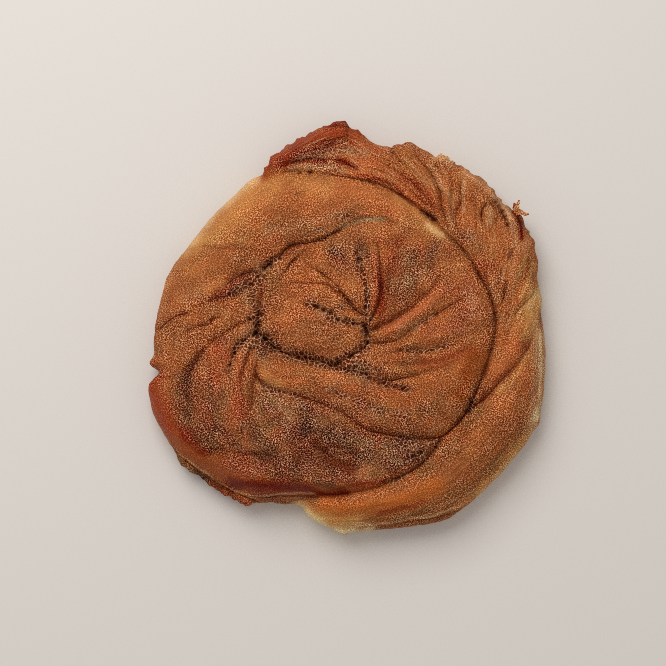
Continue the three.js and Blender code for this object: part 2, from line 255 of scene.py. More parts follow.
            (-30, 60, 0.4, 0.1), (-25, 62, 1.2, 0.4), (-20, 63.4, 1.2, 0.3), (-14, 65, 0.4, 0),
        ]},
        "flapUpper": {"reach": (3, 3), "path": [
            (-24, 64.6, 0.4, 0), (-17, 65.8, 0.8, 0), (-10, 67.5, 0.8, 0), (-4, 69, 0.6, 0), (6, 69, 0, 0),
        ]},
        "flapTop": {"reach": (1.5, 1.5), "path": [
            (-8, 75.6, 0.6, 0.4), (-4, 76, 1, 0.7), (0, 75.6, 0.8, 0.5),
        ]},
        "crumpleA": {"reach": (1.2, 5), "width": 0.36, "path": [
            (25, 66.8, 0.6, 0.4), (26, 64.4, 0.9, 0.4), (28.6, 61.2, 1.5, 0.4), (31.6, 57.4, 1.8, 0.45),
            (33.6, 53.6, 2, 0.5), (34.8, 50, 2.1, 0.55), (35.2, 46, 2, 0.55), (36.2, 42.5, 1.7, 0.5),
            (37.6, 38.5, 1.2, 0.35),
        ]},
        "crumpleB": {"reach": (4, 3), "path": [
            (43, 57, 0.3, 0.2), (42.2, 53, 1.4, 0.6), (42.4, 50, 1.5, 0.6), (42.7, 47.6, 1.5, 0.55),
            (41, 44.2, 1.7, 0.65), (40.4, 41, 1.7, 0.6), (41, 37, 1.4, 0.5), (43, 33.6, 0.9, 0.3),
        ]},
        "crumpleC": {"reach": (1.5, 1.5), "path": [
            (38, 59, 0.4, 0.1), (39, 53, 0.9, 0.3), (38.8, 47, 0.9, 0.35), (38.4, 41, 0.5, 0.2),
        ]},
        "crumpleD": {"reach": (2, 2), "path": [
            (46, 55, 0.3, 0), (46.4, 50, 0.8, 0.25), (48.2, 45, 0.9, 0.3), (48, 39, 0.6, 0.2),
        ]},
        "crumpleE": {"reach": (3, 2), "path": [
            (8, 60.4, 0.4, 0.2), (14, 58.4, 0.9, 0.4), (20, 54.8, 1.2, 0.5), (25, 50.4, 1.4, 0.6),
            (30, 46, 1.2, 0.5),
        ]},
        "crumpleF": {"reach": (3, 2), "path": [
            (10, 63.4, 0.3, 0.1), (18, 59.4, 1, 0.4), (24, 54.6, 1.2, 0.4), (29.4, 49, 1.2, 0.5),
            (33, 43.6, 0.9, 0.4),
        ]},
        "crumpleG": {"reach": (2.5, 2), "path": [
            (17, 66, 0.8, 0.5), (19.6, 63, 1, 0.4), (25, 58.8, 0.8, 0.3), (29.6, 54, 0.4, 0.2),
        ]},
        "crumpleH": {"reach": (2.5, 2), "path": [
            (2, 65.6, 0.4, 0.2), (11, 64.4, 0.8, 0.3), (18.4, 61.2, 0.6, 0.2),
        ]},
        "crumpleI": {"reach": (2, 1.5), "path": [
            (32, 63.6, 0.4, 0.2), (35, 58, 0.8, 0.25), (36.8, 52, 0.6, 0.2),
        ]},
        "swirl": {"reach": (2.5, 3), "path": [
            (52.4, 46.4, 0.6, 0.5), (50.7, 45, 1.2, 0.9), (50, 42.1, 1.4, 1), (50.6, 39.8, 1.2, 0.8),
            (51.6, 37.8, 0.8, 0.4),
        ]},
        "swirlTop": {"reach": (1.5, 1.5), "path": [
            (51.4, 46.2, 0.6, 0.5), (53.4, 46.6, 0.9, 0.7), (55, 45.4, 0.9, 0.6), (56, 42.6, 0.8, 0.6),
            (55.4, 39.6, 0.6, 0.5), (53.8, 37.4, 0.3, 0.3),
        ]},
        "slitA": {"reach": (2, 2), "width": 0.5, "path": [
            (54.8, 48, 0.6, 0.2), (56, 47.1, 1, 0.3), (57.8, 43.5, 1.2, 0.3), (58.5, 41.7, 1.2, 0.3),
            (59.8, 38.6, 0.8, 0.3), (61, 33, 0, 0),
        ]},
        "slitB": {"reach": (2, 1.6), "width": 0.6, "path": [
            (61, 46, 1.5, 0.8), (62.4, 43.8, 3, 0.9), (63.8, 41.2, 3, 0.9), (64.6, 38.4, 2.6, 0.8),
            (65.1, 35.8, 2.2, 0.8), (65.4, 33, 1, 0.4),
        ]},
        "slitC": {"reach": (1.6, 1.6), "path": [
            (61.5, 29, 1.4, 0.52), (60.8, 27, 1.8, 0.75), (60, 25.2, 1, 0.22),
        ]},
        "streakA": {"reach": (2.5, 2.5), "path": [
            (60, 17, 0.8, 0.3), (59, 14, 1.8, 0.7), (58.3, 11.4, 2, 1), (57.9, 9.4, 1, 0.3),
        ]},
        "streakB": {"reach": (2, 2), "path": [
            (66.4, 25, 0.6, 0.3), (65.2, 20.6, 0.9, 0.4), (63.4, 17.4, 0.9, 0.3), (61, 12, 0.8, 0.3),
        ]},
        "streakC": {"reach": (2, 2), "path": [
            (67.8, 25.6, 0.8, 0.5), (66.2, 22.8, 0.8, 0.3), (64, 16, 0.8, 0.3), (62, 11, 0.5, 0.2),
        ]},
        "outerEdge": {"reach": (1.6, 2.6), "path": [
            (69, 27, 0.8, 0.22), (69, 21, 1.2, 0.3), (69.8, 15.6, 1.8, 0.52), (69.4, 13, 1.8, 0.52),
            (67.2, 10.2, 1.6, 0.52), (64.6, 7.8, 1.4, 0.45), (62.6, 5.6, 1, 0.38), (61, 2, 0.6, 0.22),
            (60, -2, 0.3, 0.15),
        ]},
        "strandMark": {"reach": (1.6, 1.6), "path": [
            (62.6, 2.8, 0.6, 0.5), (61.2, 1, 0.9, 0.6), (60.2, -1.4, 0.6, 0.4),
        ]},
        # wrinkles of the broad left side and of the low ground
        "pullTop": {"reach": (5, 4), "path": [
            (-32, 21, 4, 0.5), (-37, 20.6, 2.6, 0.2), (-42, 18.6, 2, 0.2), (-46, 15.6, 0.4, 0.1),
        ]},
        "pullTop2": {"reach": (4, 3), "path": [
            (-36, 16.6, 1.6, 0.5), (-39, 14.6, 1.8, 0.6), (-43.6, 12.3, 1.8, 0.8), (-48, 11.4, 1.4, 0.7),
            (-52, 10, 0.6, 0.4), (-57, 8, 0, 0),
        ]},
        "pullStep": {"reach": (5, 2), "path": [
            (-60, 29, 0.3, 0.1), (-56, 30.6, 1, 0.2), (-51.4, 30.7, 1.3, 0.4), (-47.6, 29.7, 1.3, 0.6),
            (-43.4, 30.3, 1.2, 0.25), (-39, 29.6, 0.9, 0.4), (-32, 28, 0, 0),
        ]},
        "pullMid": {"reach": (4, 6), "path": [
            (-34, 4, 5, 0.9), (-37, 2.7, 3.4, 0.9), (-42.3, 0.3, 2.4, 0.8), (-48.3, -3.3, 2, 0.6),
            (-53, -7.7, 1.8, 0.5), (-57.6, -12.3, 1.6, 0.6), (-61.6, -17.7, 0.8, 0.3),
        ]},
        "pullMark": {"reach": (2.5, 2.5), "path": [
            (-48, 4.2, 0.8, 0.6), (-50.8, 3.2, 1.4, 0.9), (-51.6, 1.7, 1.4, 0.7), (-55.6, 0.7, 1.2, 0.8),
            (-58.8, -0.4, 0.8, 0.7), (-62, -1.6, 0.2, 0.2),
        ]},
        "pullMark2": {"reach": (2.2, 2.2), "path": [
            (-58.6, 6, 0.6, 0.4), (-60.4, 5.6, 1, 0.9), (-63.6, 4.6, 1.2, 0.8), (-66.3, 3, 1.2, 0.9),
            (-70.6, -0.3, 0.8, 0.8),
        ]},
        "pullLow": {"reach": (4, 4), "path": [
            (-36.4, -3, 5, 0.8), (-40, -6, 3, 0.6), (-42.6, -10, 2.6, 0.8), (-44, -14.4, 2, 0.7),
            (-44.8, -18, 0.6, 0.2),
        ]},
        "pullLow2": {"reach": (3, 3), "path": [
            (-35.5, -7, 4, 0.6), (-37.2, -11, 2.4, 0.5), (-39, -16, 1.8, 0.6), (-40, -21, 0.8, 0.3),
            (-40, -26, 0, 0),
        ]},
        "pullTongue": {"reach": (4, 4), "path": [
            (-34.2, -17, 3.5, 0.6), (-35.3, -22, 2.8, 0.5), (-35.8, -29, 1.4, 0.5), (-37, -36, 0, 0),
        ]},
        "valley": {"reach": (6, 6), "path": [
            (-51, -6, 0.8, 0), (-55.6, -12, 2, 0.1), (-58.8, -18, 2.4, 0), (-59.2, -24, 2.2, 0),
            (-57.8, -32, 1.8, 0), (-56, -38, 0.4, 0),
        ]},
        "valleyEdge": {"reach": (3, 3), "path": [
            (-57, -11.4, 0.8, 0.4), (-61, -15.6, 1.2, 0.4), (-66, -18.4, 1, 0.3), (-72, -18, 2.6, 0.2),
        ]},
        "rimStep": {"reach": (4, 4), "path": [
            (-66, -26, 0.2, 0), (-64.4, -34, 1, 0), (-61, -41, 1.4, 0), (-55, -47.6, 1.6, 0),
            (-47, -46, 1.2, 0), (-38, -47, 1.2, 0.2), (-30, -47, 1.2, 0.4), (-24, -49.5, 0.4, 0.1),
        ]},
        "sponge": {"reach": (5, 5), "path": [(-17, -32, 0.5, 0), (-16, -40, 1.8, 0.1), (-15, -48, 0.6, 0)]},
        "spongeLow": {"reach": (5, 5), "path": [(-10, -46, 0.4, 0), (-2, -50.6, 1.6, 0), (6, -53, 0.4, 0)]},
        # overhang along the lower left, lip and layers of the lower right
        "overhang": {"reach": (7, 1.5), "width": 0.4, "path": [
            (-66, -43, 0, 0), (-63.4, -46.4, 4, 0.1), (-60.5, -49.2, 6.5, 0.21), (-54.5, -53.8, 7.5, 0.28),
            (-49.5, -57, 7.5, 0.28), (-44, -60.4, 7.5, 0.28), (-38, -62.8, 7, 0.28), (-34, -64.4, 6, 0.21),
            (-28, -65.4, 2, 0.07),
        ]},
        "underBand": {"reach": (2, 3), "path": [
            (-36, -63, 1, 0.4), (-30, -62.8, 2.4, 0.8), (-20, -62.6, 2.6, 0.8), (-11, -62.8, 1.6, 0.5),
        ]},
        "lip": {"reach": (3, 1.5), "width": 0.4, "path": [
            (1, -75.3, 0.3, 0.1), (6, -74.2, 1, 0.4), (15, -73, 1.8, 0.5), (25, -71.6, 2, 0.6),
            (36, -69.4, 2, 0.6), (41, -67.4, 1.4, 0.5), (48, -62.6, 0.3, 0.1),
        ]},
        "dent": {"reach": (2, 2), "path": [
            (-3, -64.4, 1, 0.3), (-2.2, -66, 1, 0.3), (-1.4, -67.2, 0.2, 0),
        ]},
        "layer": {"reach": (1.2, 2), "path": [
            (71.8, 5.4, 0.8, 0.7), (72.2, 2, 1, 0.4), (72.8, -8, 1.2, 0.3), (72.6, -20, 1.2, 0.3),
            (71.4, -32, 0.6, 0.2),
        ]},
        "layerIn": {"reach": (1.2, 1.5), "path": [
            (70.2, 0, 0.3, 0.1), (71, -8, 0.8, 0.3), (71, -18, 0.8, 0.2), (70, -28, 0.3, 0.1),
        ]},
    },
    "ridges": [  # between the folds: points (x, y, rise), half width
        ([(12, -2.5, 0.6), (18, -0.6, 1.6), (25, 4.4, 2), (31, 9.4, 1.8), (37, 15, 0)], 4),
        ([(9.4, 4, 0.4), (10.2, 12, 1.2), (10.4, 20, 1.2), (9.8, 30, 0)], 2.2),
        ([(-1, 12.6, 0.4), (-5, 16.6, 1), (-12, 20.6, 0)], 1.8),
        ([(14, -7.4, 0.4), (24, -5.4, 1), (36, -3, 0.8), (46, 0, 0)], 3),
        ([(12, -14, 0.4), (22, -11.4, 1), (34, -10, 0.6), (46, -6, 0)], 3.4),
        ([(14, -16, 0.5), (26, -15.6, 0.9), (40, -12.5, 0)], 2.4),
        ([(-31, -14, 0.4), (-20, -15.5, 1.2), (-8, -17.6, 1.2), (4, -21, 0.8), (14, -25, 0)], 4),
        ([(-38, 0, 0.6), (-45, -6, 1.2), (-50, -13, 0.8), (-52, -22, 0)], 4),
        ([(-37.6, -8, 0.6), (-40.4, -16, 1.2), (-40.5, -28, 0.8), (-39, -40, 0)], 2.4),
        ([(-36, 24, 0.4), (-46, 24, 1.2), (-58, 20, 0.6), (-66, 12, 0)], 5),
        ([(27, 62, 0.4), (30.5, 55, 0.8), (33, 48, 0.8), (35, 42, 0.4)], 2.2),
        ([(36, 60, 0.4), (37.2, 54, 1.6), (37.4, 46, 1.6), (38.2, 39, 0.4)], 2.6),
        ([(47, 56, 0.3), (46, 48, 1.2), (46.5, 41, 0.8), (48, 35, 0)], 3.4),
        ([(53, 42.6, 1.2), (53.4, 42.4, 1.2)], 2.8),
        ([(64, 30, 0.4), (63, 22, 1), (60.6, 14, 1), (58.6, 6, 0.4)], 2.2),
        ([(67, 26, 0.4), (67.4, 20, 1), (66.4, 14, 1), (63, 8, 0.6)], 2),
        ([(66, 4, 0.6), (64, -5, 1), (60, -13, 0.8), (54, -21, 0.4)], 4),
        ([(-27, 65.6, 0.4), (-14, 71, 1.4), (-2, 73.4, 1)], 2.4),
        ([(-22, -57, 0.3), (-8, -58.4, 0.8), (6, -57, 0)], 3),
        ([(-12, -67, 0.4), (4, -66, 1.4), (20, -63, 1), (32, -58, 0.4)], 4),
    ],
    "paint": [  # colour, path, width, strength: laid over each other in this order
        # broad left side
        ("orange", [(-36, 45), (-28, 51), (-10, 51), (8, 49), (17, 45)], 6, 0.5),
        ("gold", [(-30, 53.6), (-38, 48.6), (-46, 41.4), (-53.6, 33), (-59.6, 26)], 5.6, 0.5),
        ("cream", [(-33, 57), (-38, 54), (-44, 48.8), (-52, 40.2), (-58.6, 32)], 2, 0.6),
        ("cream", [(-60.8, 29), (-64, 24)], 2, 0.3),
        ("tan", [(-66, 20), (-68.4, 13), (-70, 6)], 1.6, 0.2),
        ("gold", [(-30, 56), (-22, 57), (-14, 56.6), (-6, 55.2)], 2.4, 0.2),
        ("gold", [(-18, 53.6), (-8, 52.4)], 3, 0.4),
        ("gold", [(19, 49), (25, 44.4), (30, 40), (35.5, 35.4)], 2.4, 0.6),
        ("gold", [(19, 41), (25, 39.4), (31, 36.6)], 2.4, 0.3),
        ("cream", [(30, 38.8), (32, 37.4), (35.4, 34.6)], 1.4, 0.5),
        ("brown", [(-53.4, 36.4), (-46.4, 43.2)], 2.2, 0.3),
        ("brown", [(-62, 24), (-50, 27.4), (-39, 27)], 3.2, 0.6),
        ("gold", [(-55, 32.8), (-40, 33.4)], 2.6, 0.45),
        ("gold", [(-45, 37.4), (-40, 39)], 2.4, 0.3),
        ("straw", [(-60, 11.4), (-54.6, 13.6)], 2.4, 0.35),
        ("straw", [(-29, 36.6), (-21, 37), (-14, 38.6), (-5, 42.6)], 2.2, 0.4),
        ("orange", [(-51.5, 14.8), (-46.5, 16.8)], 2.6, 0.6),
        ("gold", [(-50.6, 15), (-47, 16.8)], 2.2, 0.45),
        # painted shadow of the hollow fold left of the crown seam
        ("rose", [(-35.6, 21), (-38.6, 18.6), (-42.6, 15.6), (-48, 12.8)], 2.6, 0.75),
        ("straw", [(-33.4, 24), (-31, 21)], 2, 0.5),
        # more painted shadow in the same hollow fold
        ("rose", [(-44, 17.4), (-40.4, 18.4)], 1.8, 0.5),
        ("straw", [(-38, 9.4), (-37, 5.6)], 2, 0.4),
        # painted shade down the wrinkle's valley line
        ("dark", [(-51.4, 10.8), (-46.3, 11.3), (-41.6, 12.4), (-38, 14.8)], 1, 0.35),
        ("rose", [(-46, -4), (-49, -6.6)], 2, 0.5),
        ("rose", [(-24.6, 26.4), (-20, 29.4)], 1.6, 0.6),
        ("sponge", [(-33.8, -2.6), (-31.6, -9.4)], 2.3, 0.8),
        ("olive", [(-29, 22), (-28, 17), (-30, 11)], 2.6, 0.6),
        # painted shade under the overlapping outer turn, above the crown seam
        ("brown", [(-32, 29), (-24, 33), (-14, 35.6), (-4, 39.4), (4, 42)], 2, 0.6),
        ("rust", [(-30, 31), (-26, 33)], 1.8, 0.5),
        # painted shade in the crown seam
        ("dark", [(-13, 32.2), (-8, 34.2), (-3, 36.8)], 0.7, 0.7),
        ("ash", [(-2.4, 38.2), (-0.4, 39)], 1.1, 0.8),
        ("ash", [(3, 40), (8, 40.9), (13, 40.6)], 1.1, 1),
        ("tan", [(-38, -0.6), (-36.4, -3)], 2, 0.85),
        ("straw", [(-37.6, -4), (-37.6, -9), (-38.4, -14)], 1.5, 0.35),
        ("rust", [(-48.4, -7.6), (-45, -10.6)], 2.4, 0.8),
        ("rust", [(-38, -9.5), (-39.6, -15), (-40.5, -22), (-39, -34)], 1.7, 0.7),
        # painted shade of the long valley on the left, the next two strokes
        ("dark", [(-54, -8.6), (-58, -13.4), (-61, -19)], 1.4, 0.5),
        ("dark", [(-56.6, -12), (-60, -18), (-60.4, -24), (-58.8, -31), (-58, -36)], 2.2, 0.5),
        ("sponge", [(-60, -20), (-60.4, -32), (-57, -41)], 4, 0.8),
        ("ash", [(-64, -24), (-63.6, -32)], 1.4, 0.25),
        ("sponge", [(-52, -22), (-52, -34), (-49, -44)], 6, 0.7),
        ("brown", [(-54, -15), (-54, -24)], 3, 0.7),
        ("rust", [(-53, -29), (-52, -35)], 2.2, 0.5),
        ("brown", [(-66, -9), (-68, -16), (-67, -22)], 3, 0.6),
        ("straw", [(-44, -17), (-45, -25)], 2.4, 0.2),
        ("rust", [(-49, -15), (-49, -24)], 1.4, 0.6),
        ("dark", [(-49, -37), (-45, -39.6), (-42, -43), (-38, -46), (-32, -47.4), (-26, -48.6)], 1.6, 0.75),
        ("sponge", [(-39, -38), (-33, -42), (-27, -44)], 4, 0.75),
        ("dark", [(-56, -43), (-51, -46)], 2.4, 0.5),
        ("rust", [(-41.6, -22), (-41.6, -30), (-41.6, -36)], 2, 0.85),
        ("rust", [(-37.4, -38), (-37.4, -44)], 1.4, 0.6),
        # glossy rim of the lower left
        ("brick", [(-73, -20), (-70, -30), (-66, -38)], 4.8, 0.95),
        ("redBrown", [(-73, -23), (-70.6, -30), (-67, -37)], 2.2, 0.55),
        ("red", [(-60.6, -39.8), (-58.4, -43.6), (-54, -46.4)], 2.2, 1),
        ("amber", [(-61, -45.6), (-55, -50), (-49, -54), (-43, -58)], 3.4, 0.9),
        ("amber", [(-48.6, -47.2), (-45, -47.8)], 1.8, 0.8),
        ("rose", [(-46, -46.8), (-38, -48.6), (-30, -50.6)], 2.2, 0.5),
        # pinkish red of the glossy rim, partly painted sheen
        ("pink", [(-46, -51), (-40, -52.6), (-33, -53)], 2.4, 0.65),
        ("rose", [(-26, -55), (-18, -56.6)], 2, 0.6),
        ("rust", [(-2, -56.4), (6, -56.6)], 1.8, 0.5),
        ("wine", [(-43, -57.8), (-36, -58.4), (-26, -59), (-15, -60)], 2.4, 1),
        ("wine", [(-15, -60.8), (-8, -61.8), (-1, -61.2)], 1.5, 0.9),
        ("red", [(1, -57.6), (7, -58), (14, -56.4), (18, -54.6)], 1.5, 0.55),
        # painted highlight along the rim's edge
        ("tan", [
            (-63.5, -46), (-58, -50.2), (-53, -54), (-48, -57.2), (-43, -60), (-38, -61.9), (-34.5, -63.4),
        ], 0.35, 0.9),
        # painted highlight along the strand's bottom edge
        ("tan", [(-40, -61), (-35, -62.1), (-28, -62), (-20, -61.7), (-12, -61.9)], 0.4, 0.7),
        # painted shadow on the strip of dough below that edge
        ("olive", [(-32, -64.4), (-22, -64.6), (-12, -63.8)], 1, 0.9),
        ("olive", [(-64, -47.6), (-58, -52.8), (-53, -56.8)], 1.4, 0.9),
        ("dark", [(-56, -53.6), (-51, -57.4), (-47, -60)], 0.9, 0.6),
        ("redBrown", [(-51, -58.6), (-45, -62.4), (-38, -65)], 1.6, 0.9),
        # spongy low ground
        ("sponge", [(-31, -33), (-20, -36.6), (-8, -41), (6, -45), (21, -46)], 7, 0.95),
        ("sponge", [(-30, -48), (-16, -51), (-2, -53)], 4.4, 0.85),
        ("olive", [(-32, -36), (-26, -43), (-19, -46)], 3, 0.6),
        ("olive", [(6, -43), (16, -47)], 3, 0.5),
        ("sponge", [(-18, -27.6), (-12, -32)], 2.2, 0.6),
        ("dark", [(-15, -31), (-15.6, -36)], 2.2, 0.35),
        ("dark", [(-17.6, -38.6), (-17, -45), (-19.4, -49.6)], 2, 0.4),
        ("ash", [(-29.4, -38), (-23.6, -40.4)], 2.6, 0.4),
        ("base", [(-34.4, -31), (-31.4, -34)], 2.4, 0.5),
        ("base", [(-24, -31.6), (-20.4, -33.6)], 2, 0.4),
        ("straw", [(-4, -32), (3, -33)], 2, 0.3),
        ("straw", [(1, -42), (5, -43)], 2, 0.25),
        ("straw", [(-14, -52), (-6, -53)], 2.2, 0.4),
        ("wine", [(-13, -41.6), (-8.4, -45.4)], 2, 0.6),
        ("dark", [(-12, -43.4), (-8.4, -45.4)], 1.8, 0.8),
        ("dark", [(0.4, -45.4), (3.4, -49)], 2.2, 0.4),
        ("sponge", [(-18, -39), (-16.4, -46), (-11, -48.6), (-4, -51.4)], 3, 0.8),
        ("sponge", [(-27, -51), (-20, -53)], 2.4, 0.7),
        ("dark", [(-22, -45.6), (-12, -47.8)], 2.2, 0.35),
        ("dark", [(22, -43), (27, -46.4), (29, -48)], 2.2, 0.5),
        ("straw", [(9, -46), (18, -47)], 3, 0.25),
        ("sponge", [(-12, -57), (-6, -58.2)], 2, 0.75),
        ("rose", [(-30, -52), (-25, -53.6)], 2, 0.35),
        ("dark", [(-3.6, -52), (2, -53.2)], 2.2, 0.9),
        ("wine", [(-6, -49.6), (-2, -52), (1, -53)], 2.4, 0.5),
        ("tan", [(3, -54.8), (7.6, -54.8)], 2, 0.4),
        ("straw", [(5, -50.6), (10, -52.6)], 2, 0.35),
        ("straw", [(-29, -26), (-24, -30), (-20, -34)], 2.4, 0.45),
        # tongue and heart
        ("orange", [(-31.8, -17.4), (-25, -17)], 2.6, 0.9),
        ("orange", [(-13, -16.6), (-2, -18.6)], 2, 0.6),
        ("olive", [(-20, -16.6), (-15.4, -17.4)], 1.8, 0.5),
        ("gold", [(-31.4, -16.4), (-29.4, -19.4), (-25.4, -20.6)], 1.9, 0.45),
        # painted shade along the tongue's seam
        ("dark", [(-34, -16.6), (-33.6, -18.6), (-32, -20.6), (-28.6, -22.6)], 0.6, 0.6),
        ("straw", [(-34, -11), (-31, -12.6)], 1.6, 0.4),
        ("straw", [(-33, -21), (-28, -22.8)], 2, 0.35),
        ("straw", [(0.6, -17.4), (5, -18.6)], 2, 0.4),
        ("orange", [(-26, -18), (-12, -20.4), (0, -23)], 2.4, 0.45),
        ("brown", [(-20, -22.4), (-8, -26.6), (4, -32), (14, -36.6), (28, -38.8)], 2.6, 0.55),
        ("straw", [(1, -14), (5, -15.4)], 2.6, 0.45),
        ("brown", [(6.6, -17), (9, -18.6)], 1.8, 0.5),
        ("straw", [(4, -31), (10, -33.4)], 2, 0.4),
        ("olive", [(15, -31.4), (22, -33)], 2.4, 0.6),
        ("sponge", [(-5, 28), (-3, 25)], 3.4, 0.85),
        ("sponge", [(5, 31), (8, 27)], 2.4, 0.6),
        ("rust", [(10.4, 6), (10.8, 16), (10.4, 27)], 1.3, 0.7),
        ("red", [(11.6, 5), (12.8, 11), (12.8, 17), (13, 21)], 1.5, 0.85),
        ("rust", [(14, 20), (15, 27)], 2.4, 0.6),
        ("wine", [(17, 22), (18, 27), (18.4, 31)], 2.8, 0.55),
        ("rose", [(11, 32.4), (19, 33)], 2, 0.3),
        ("rose", [(16.6, 9.6), (17.2, 13.4)], 1.4, 0.45),
        ("straw", [(17, 17), (18.6, 18.6)], 1.8, 0.35),
        ("sponge", [(20, 12), (23, 18), (25, 26)], 4.6, 0.6),
        ("ash", [(22, 15), (24, 20), (23, 24)], 2.6, 0.35),
        ("sponge", [(30.8, 24), (32.4, 31)], 2.4, 0.5),
        ("brown", [(40, 22.4), (44, 21)], 2.4, 0.5),
        ("sponge", [(7.6, 5), (7.6, 13.4)], 1.3, 0.5),
        # painted shade beside the leaf's low seam
        ("brown", [(2.6, 12.6), (0.6, 9.6), (-4, 6.8), (-9, 5.4)], 2.2, 0.95),
        ("sponge", [(0.4, 9), (-4, 7)], 1.6, 0.45),
        ("orange", [(-11, 16.6), (-5, 18.4)], 1.5, 0.5),
        ("rust", [(27.6, 25), (27.8, 31)], 1, 0.6),
        ("pink", [(14, -0.4), (22, 4), (30, 10), (36, 15.6)], 1.8, 0.5),
        ("orange", [(31, 7), (34.4, 8.8)], 1.6, 0.5),
        ("orange", [(20, 7), (25, 9)], 1.5, 0.35),
        ("orange", [(14, -0.4), (22, 4), (30, 10), (36, 15)], 1.6, 0.5),
        ("pink", [(42, 2), (46, 8), (45, 16)], 3.4, 0.5),
        ("straw", [(46.6, 10.6), (48, 4.6)], 2.2, 0.4),
        ("rust", [(27, -13.4), (36, -11.6), (45, -8.4)], 2.2, 0.85),
        ("pink", [(30, -1), (42, 0)], 2.6, 0.35),
        ("orange", [(30, -20), (38, -17.6), (45, -14)], 2.2, 0.35),
        # painted light, lifting the shade above the fold
        ("tan", [(18, -3), (23, 0.8), (28, 3.6), (33, 6.2)], 1.2, 0.35),
        ("brown", [(50, 12), (51.6, 2), (49.6, -10), (45.6, -21)], 2.4, 0.5),
        ("amber", [(47, -10), (44.6, -17), (41.4, -25)], 2.8, 0.8),
        # painted shade in the coil seam
        ("dark", [(55.6, 6), (54.6, -4), (51.6, -14), (48.4, -22), (46, -27)], 0.9, 0.2),
        # lower right strand
        ("olive", [
            (8, -73), (20, -71), (32, -68), (42, -62.6), (52, -54), (60, -45.6), (66, -37),
        ], 3.4, 0.8),
        # olive-brown crust of the strand's outer half, partly painted shade
        ("brown", [(66, -24), (62, -34), (54, -44), (45, -53), (36, -60)], 3, 0.6),
        # olive crust along the strand's inner edge, partly painted shade of the seam beside it
        ("olive", [(49, -31), (43, -38), (37, -45), (32, -51), (27, -54.6)], 2.4, 0.75),
        ("brightOrange", [(-8, -66.8), (8, -66.2), (22, -63.4), (33, -59.4)], 3.2, 0.9),
        ("gold", [(-17, -66.8), (-12, -69.6), (-4, -72.4), (4, -72)], 2.4, 0.9),
        ("orange", [(2, -62.8), (9, -62.2)], 1.7, 0.5),
        # pale bottom edge, partly painted bounce light from the floor
        ("cream", [(-18.6, -66.4), (-12, -71.6), (-5, -75.2), (1, -75.4), (8, -73.8)], 2, 1),
        # pale golden rim, partly painted light lifting the shade of its rounded edge, the next two strokes
        ("gold", [(42, -67), (49, -61), (57, -53), (63, -46), (68, -39)], 2.4, 0.95),
        ("tan", [(50, -61), (57.6, -53), (63.6, -46), (68.6, -39)], 1.2, 0.6),
        ("tan", [
            (2, -74.6), (8, -73.6), (15, -72.3), (25, -70.8), (30, -69.8), (36, -68.6), (40, -67),
            (45, -64.4),
        ], 0.5, 0.9),
        # painted shade on the strand's side above the lower lip
        ("red", [(12, -69.2), (20, -67.4), (28, -65)], 1, 0.5),
        # pale layered side, partly painted bounce light from the floor, the next three strokes
        ("straw", [(69.6, 4), (71, -4), (71.4, -16), (70.4, -28), (68.6, -36)], 2.6, 1),
        ("cream", [(71.6, -2), (72.2, -12), (71.8, -24), (70, -34)], 1.1, 0.9),
        ("tan", [(73, 5), (73.4, -4), (73.7, -12), (73.4, -22)], 0.8, 0.7),
        ("gold", [(72, 17), (70, 9), (67, 3), (66, -1)], 3.2, 0.95),
        ("cream", [(71.6, 15), (72, 8)], 1.2, 0.7),
        ("orange", [(64, 3), (63, -5), (59, -13), (54, -20)], 2.8, 0.8),
        ("rust", [(67, -5), (64.8, -10.6), (60.6, -15.6), (56, -19.6)], 1.2, 0.7),
        ("orange", [(64, -9), (60.4, -14.4)], 1.4, 0.6),
        ("gold", [(67, -10), (62, -18), (56.6, -23.6)], 1.4, 0.6),
        ("orange", [(66, -17), (61.6, -24), (56, -30)], 2.2, 0.6),
        # torn end
        ("base", [(2, 64), (20, 59), (34, 52), (46, 42), (56, 28), (57, 22)], 7.4, 0.8),
        ("olive", [(45, 34.6), (49, 30)], 2.6, 0.85),
        ("brown", [(49, 29), (53.6, 22.6)], 2.6, 0.6),
        ("rust", [(0, 63.4), (5, 62.4), (10, 62)], 1.9, 0.7),
        ("orange", [(8, 61), (16, 57.6), (24, 51.6)], 2.8, 0.45),
        ("red", [(24, 56), (29, 50), (33, 44.6)], 2.4, 0.32),
        ("red", [(53, 22.6), (51, 20)], 2, 0.4),
        # painted shade in the hollow between the inner turn's edge and the torn end's lip
        ("dark", [(7, 56.2), (12, 55), (16, 53), (20, 50.4)], 0.8, 0.5),
        # painted shade in the gap between the turns
        ("dark", [(27.6, 44.6), (30, 42.8), (32.4, 41)], 1.1, 0.9),
        ("redBrown", [(19, 51.6), (24, 48), (28, 45)], 1.1, 0.5),
        # painted highlights along the ridges of the torn end, the next four strokes
        ("tan", [(31, 60.4), (34, 56.6), (36.2, 52.6), (37.4, 47.8), (37.7, 42), (38.2, 39)], 1.1, 0.45),
        ("tan", [(43.8, 55), (43.2, 51), (43.9, 47.4), (42.8, 43.6)], 0.6, 0.7),
        ("tan", [(39.6, 46), (39.6, 42), (40, 38.6)], 1, 0.35),
        ("tan", [(21, 63.6), (26, 59), (30, 53.6)], 0.6, 0.5),
        ("straw", [(58, 46), (60.6, 41), (61.8, 35), (63.4, 30)], 1.8, 0.7),
        ("straw", [(52.8, 45), (53.4, 42), (53, 39.6)], 1.4, 0.7),
        ("straw", [(66.6, 33), (67, 27)], 1.4, 0.6),
        ("wine", [(62.2, 44.6), (63.8, 40.7), (64.9, 36.5), (65.3, 33.6)], 0.9, 0.9),
        ("rust", [(50, 22), (48.6, 24.4)], 1.8, 0.8),
        ("orange", [(2, 58.6), (7, 58), (12, 56.6)], 1.6, 0.7),
        ("red", [(20, 57.6), (25, 53.4), (29, 49.4)], 1.4, 0.4),
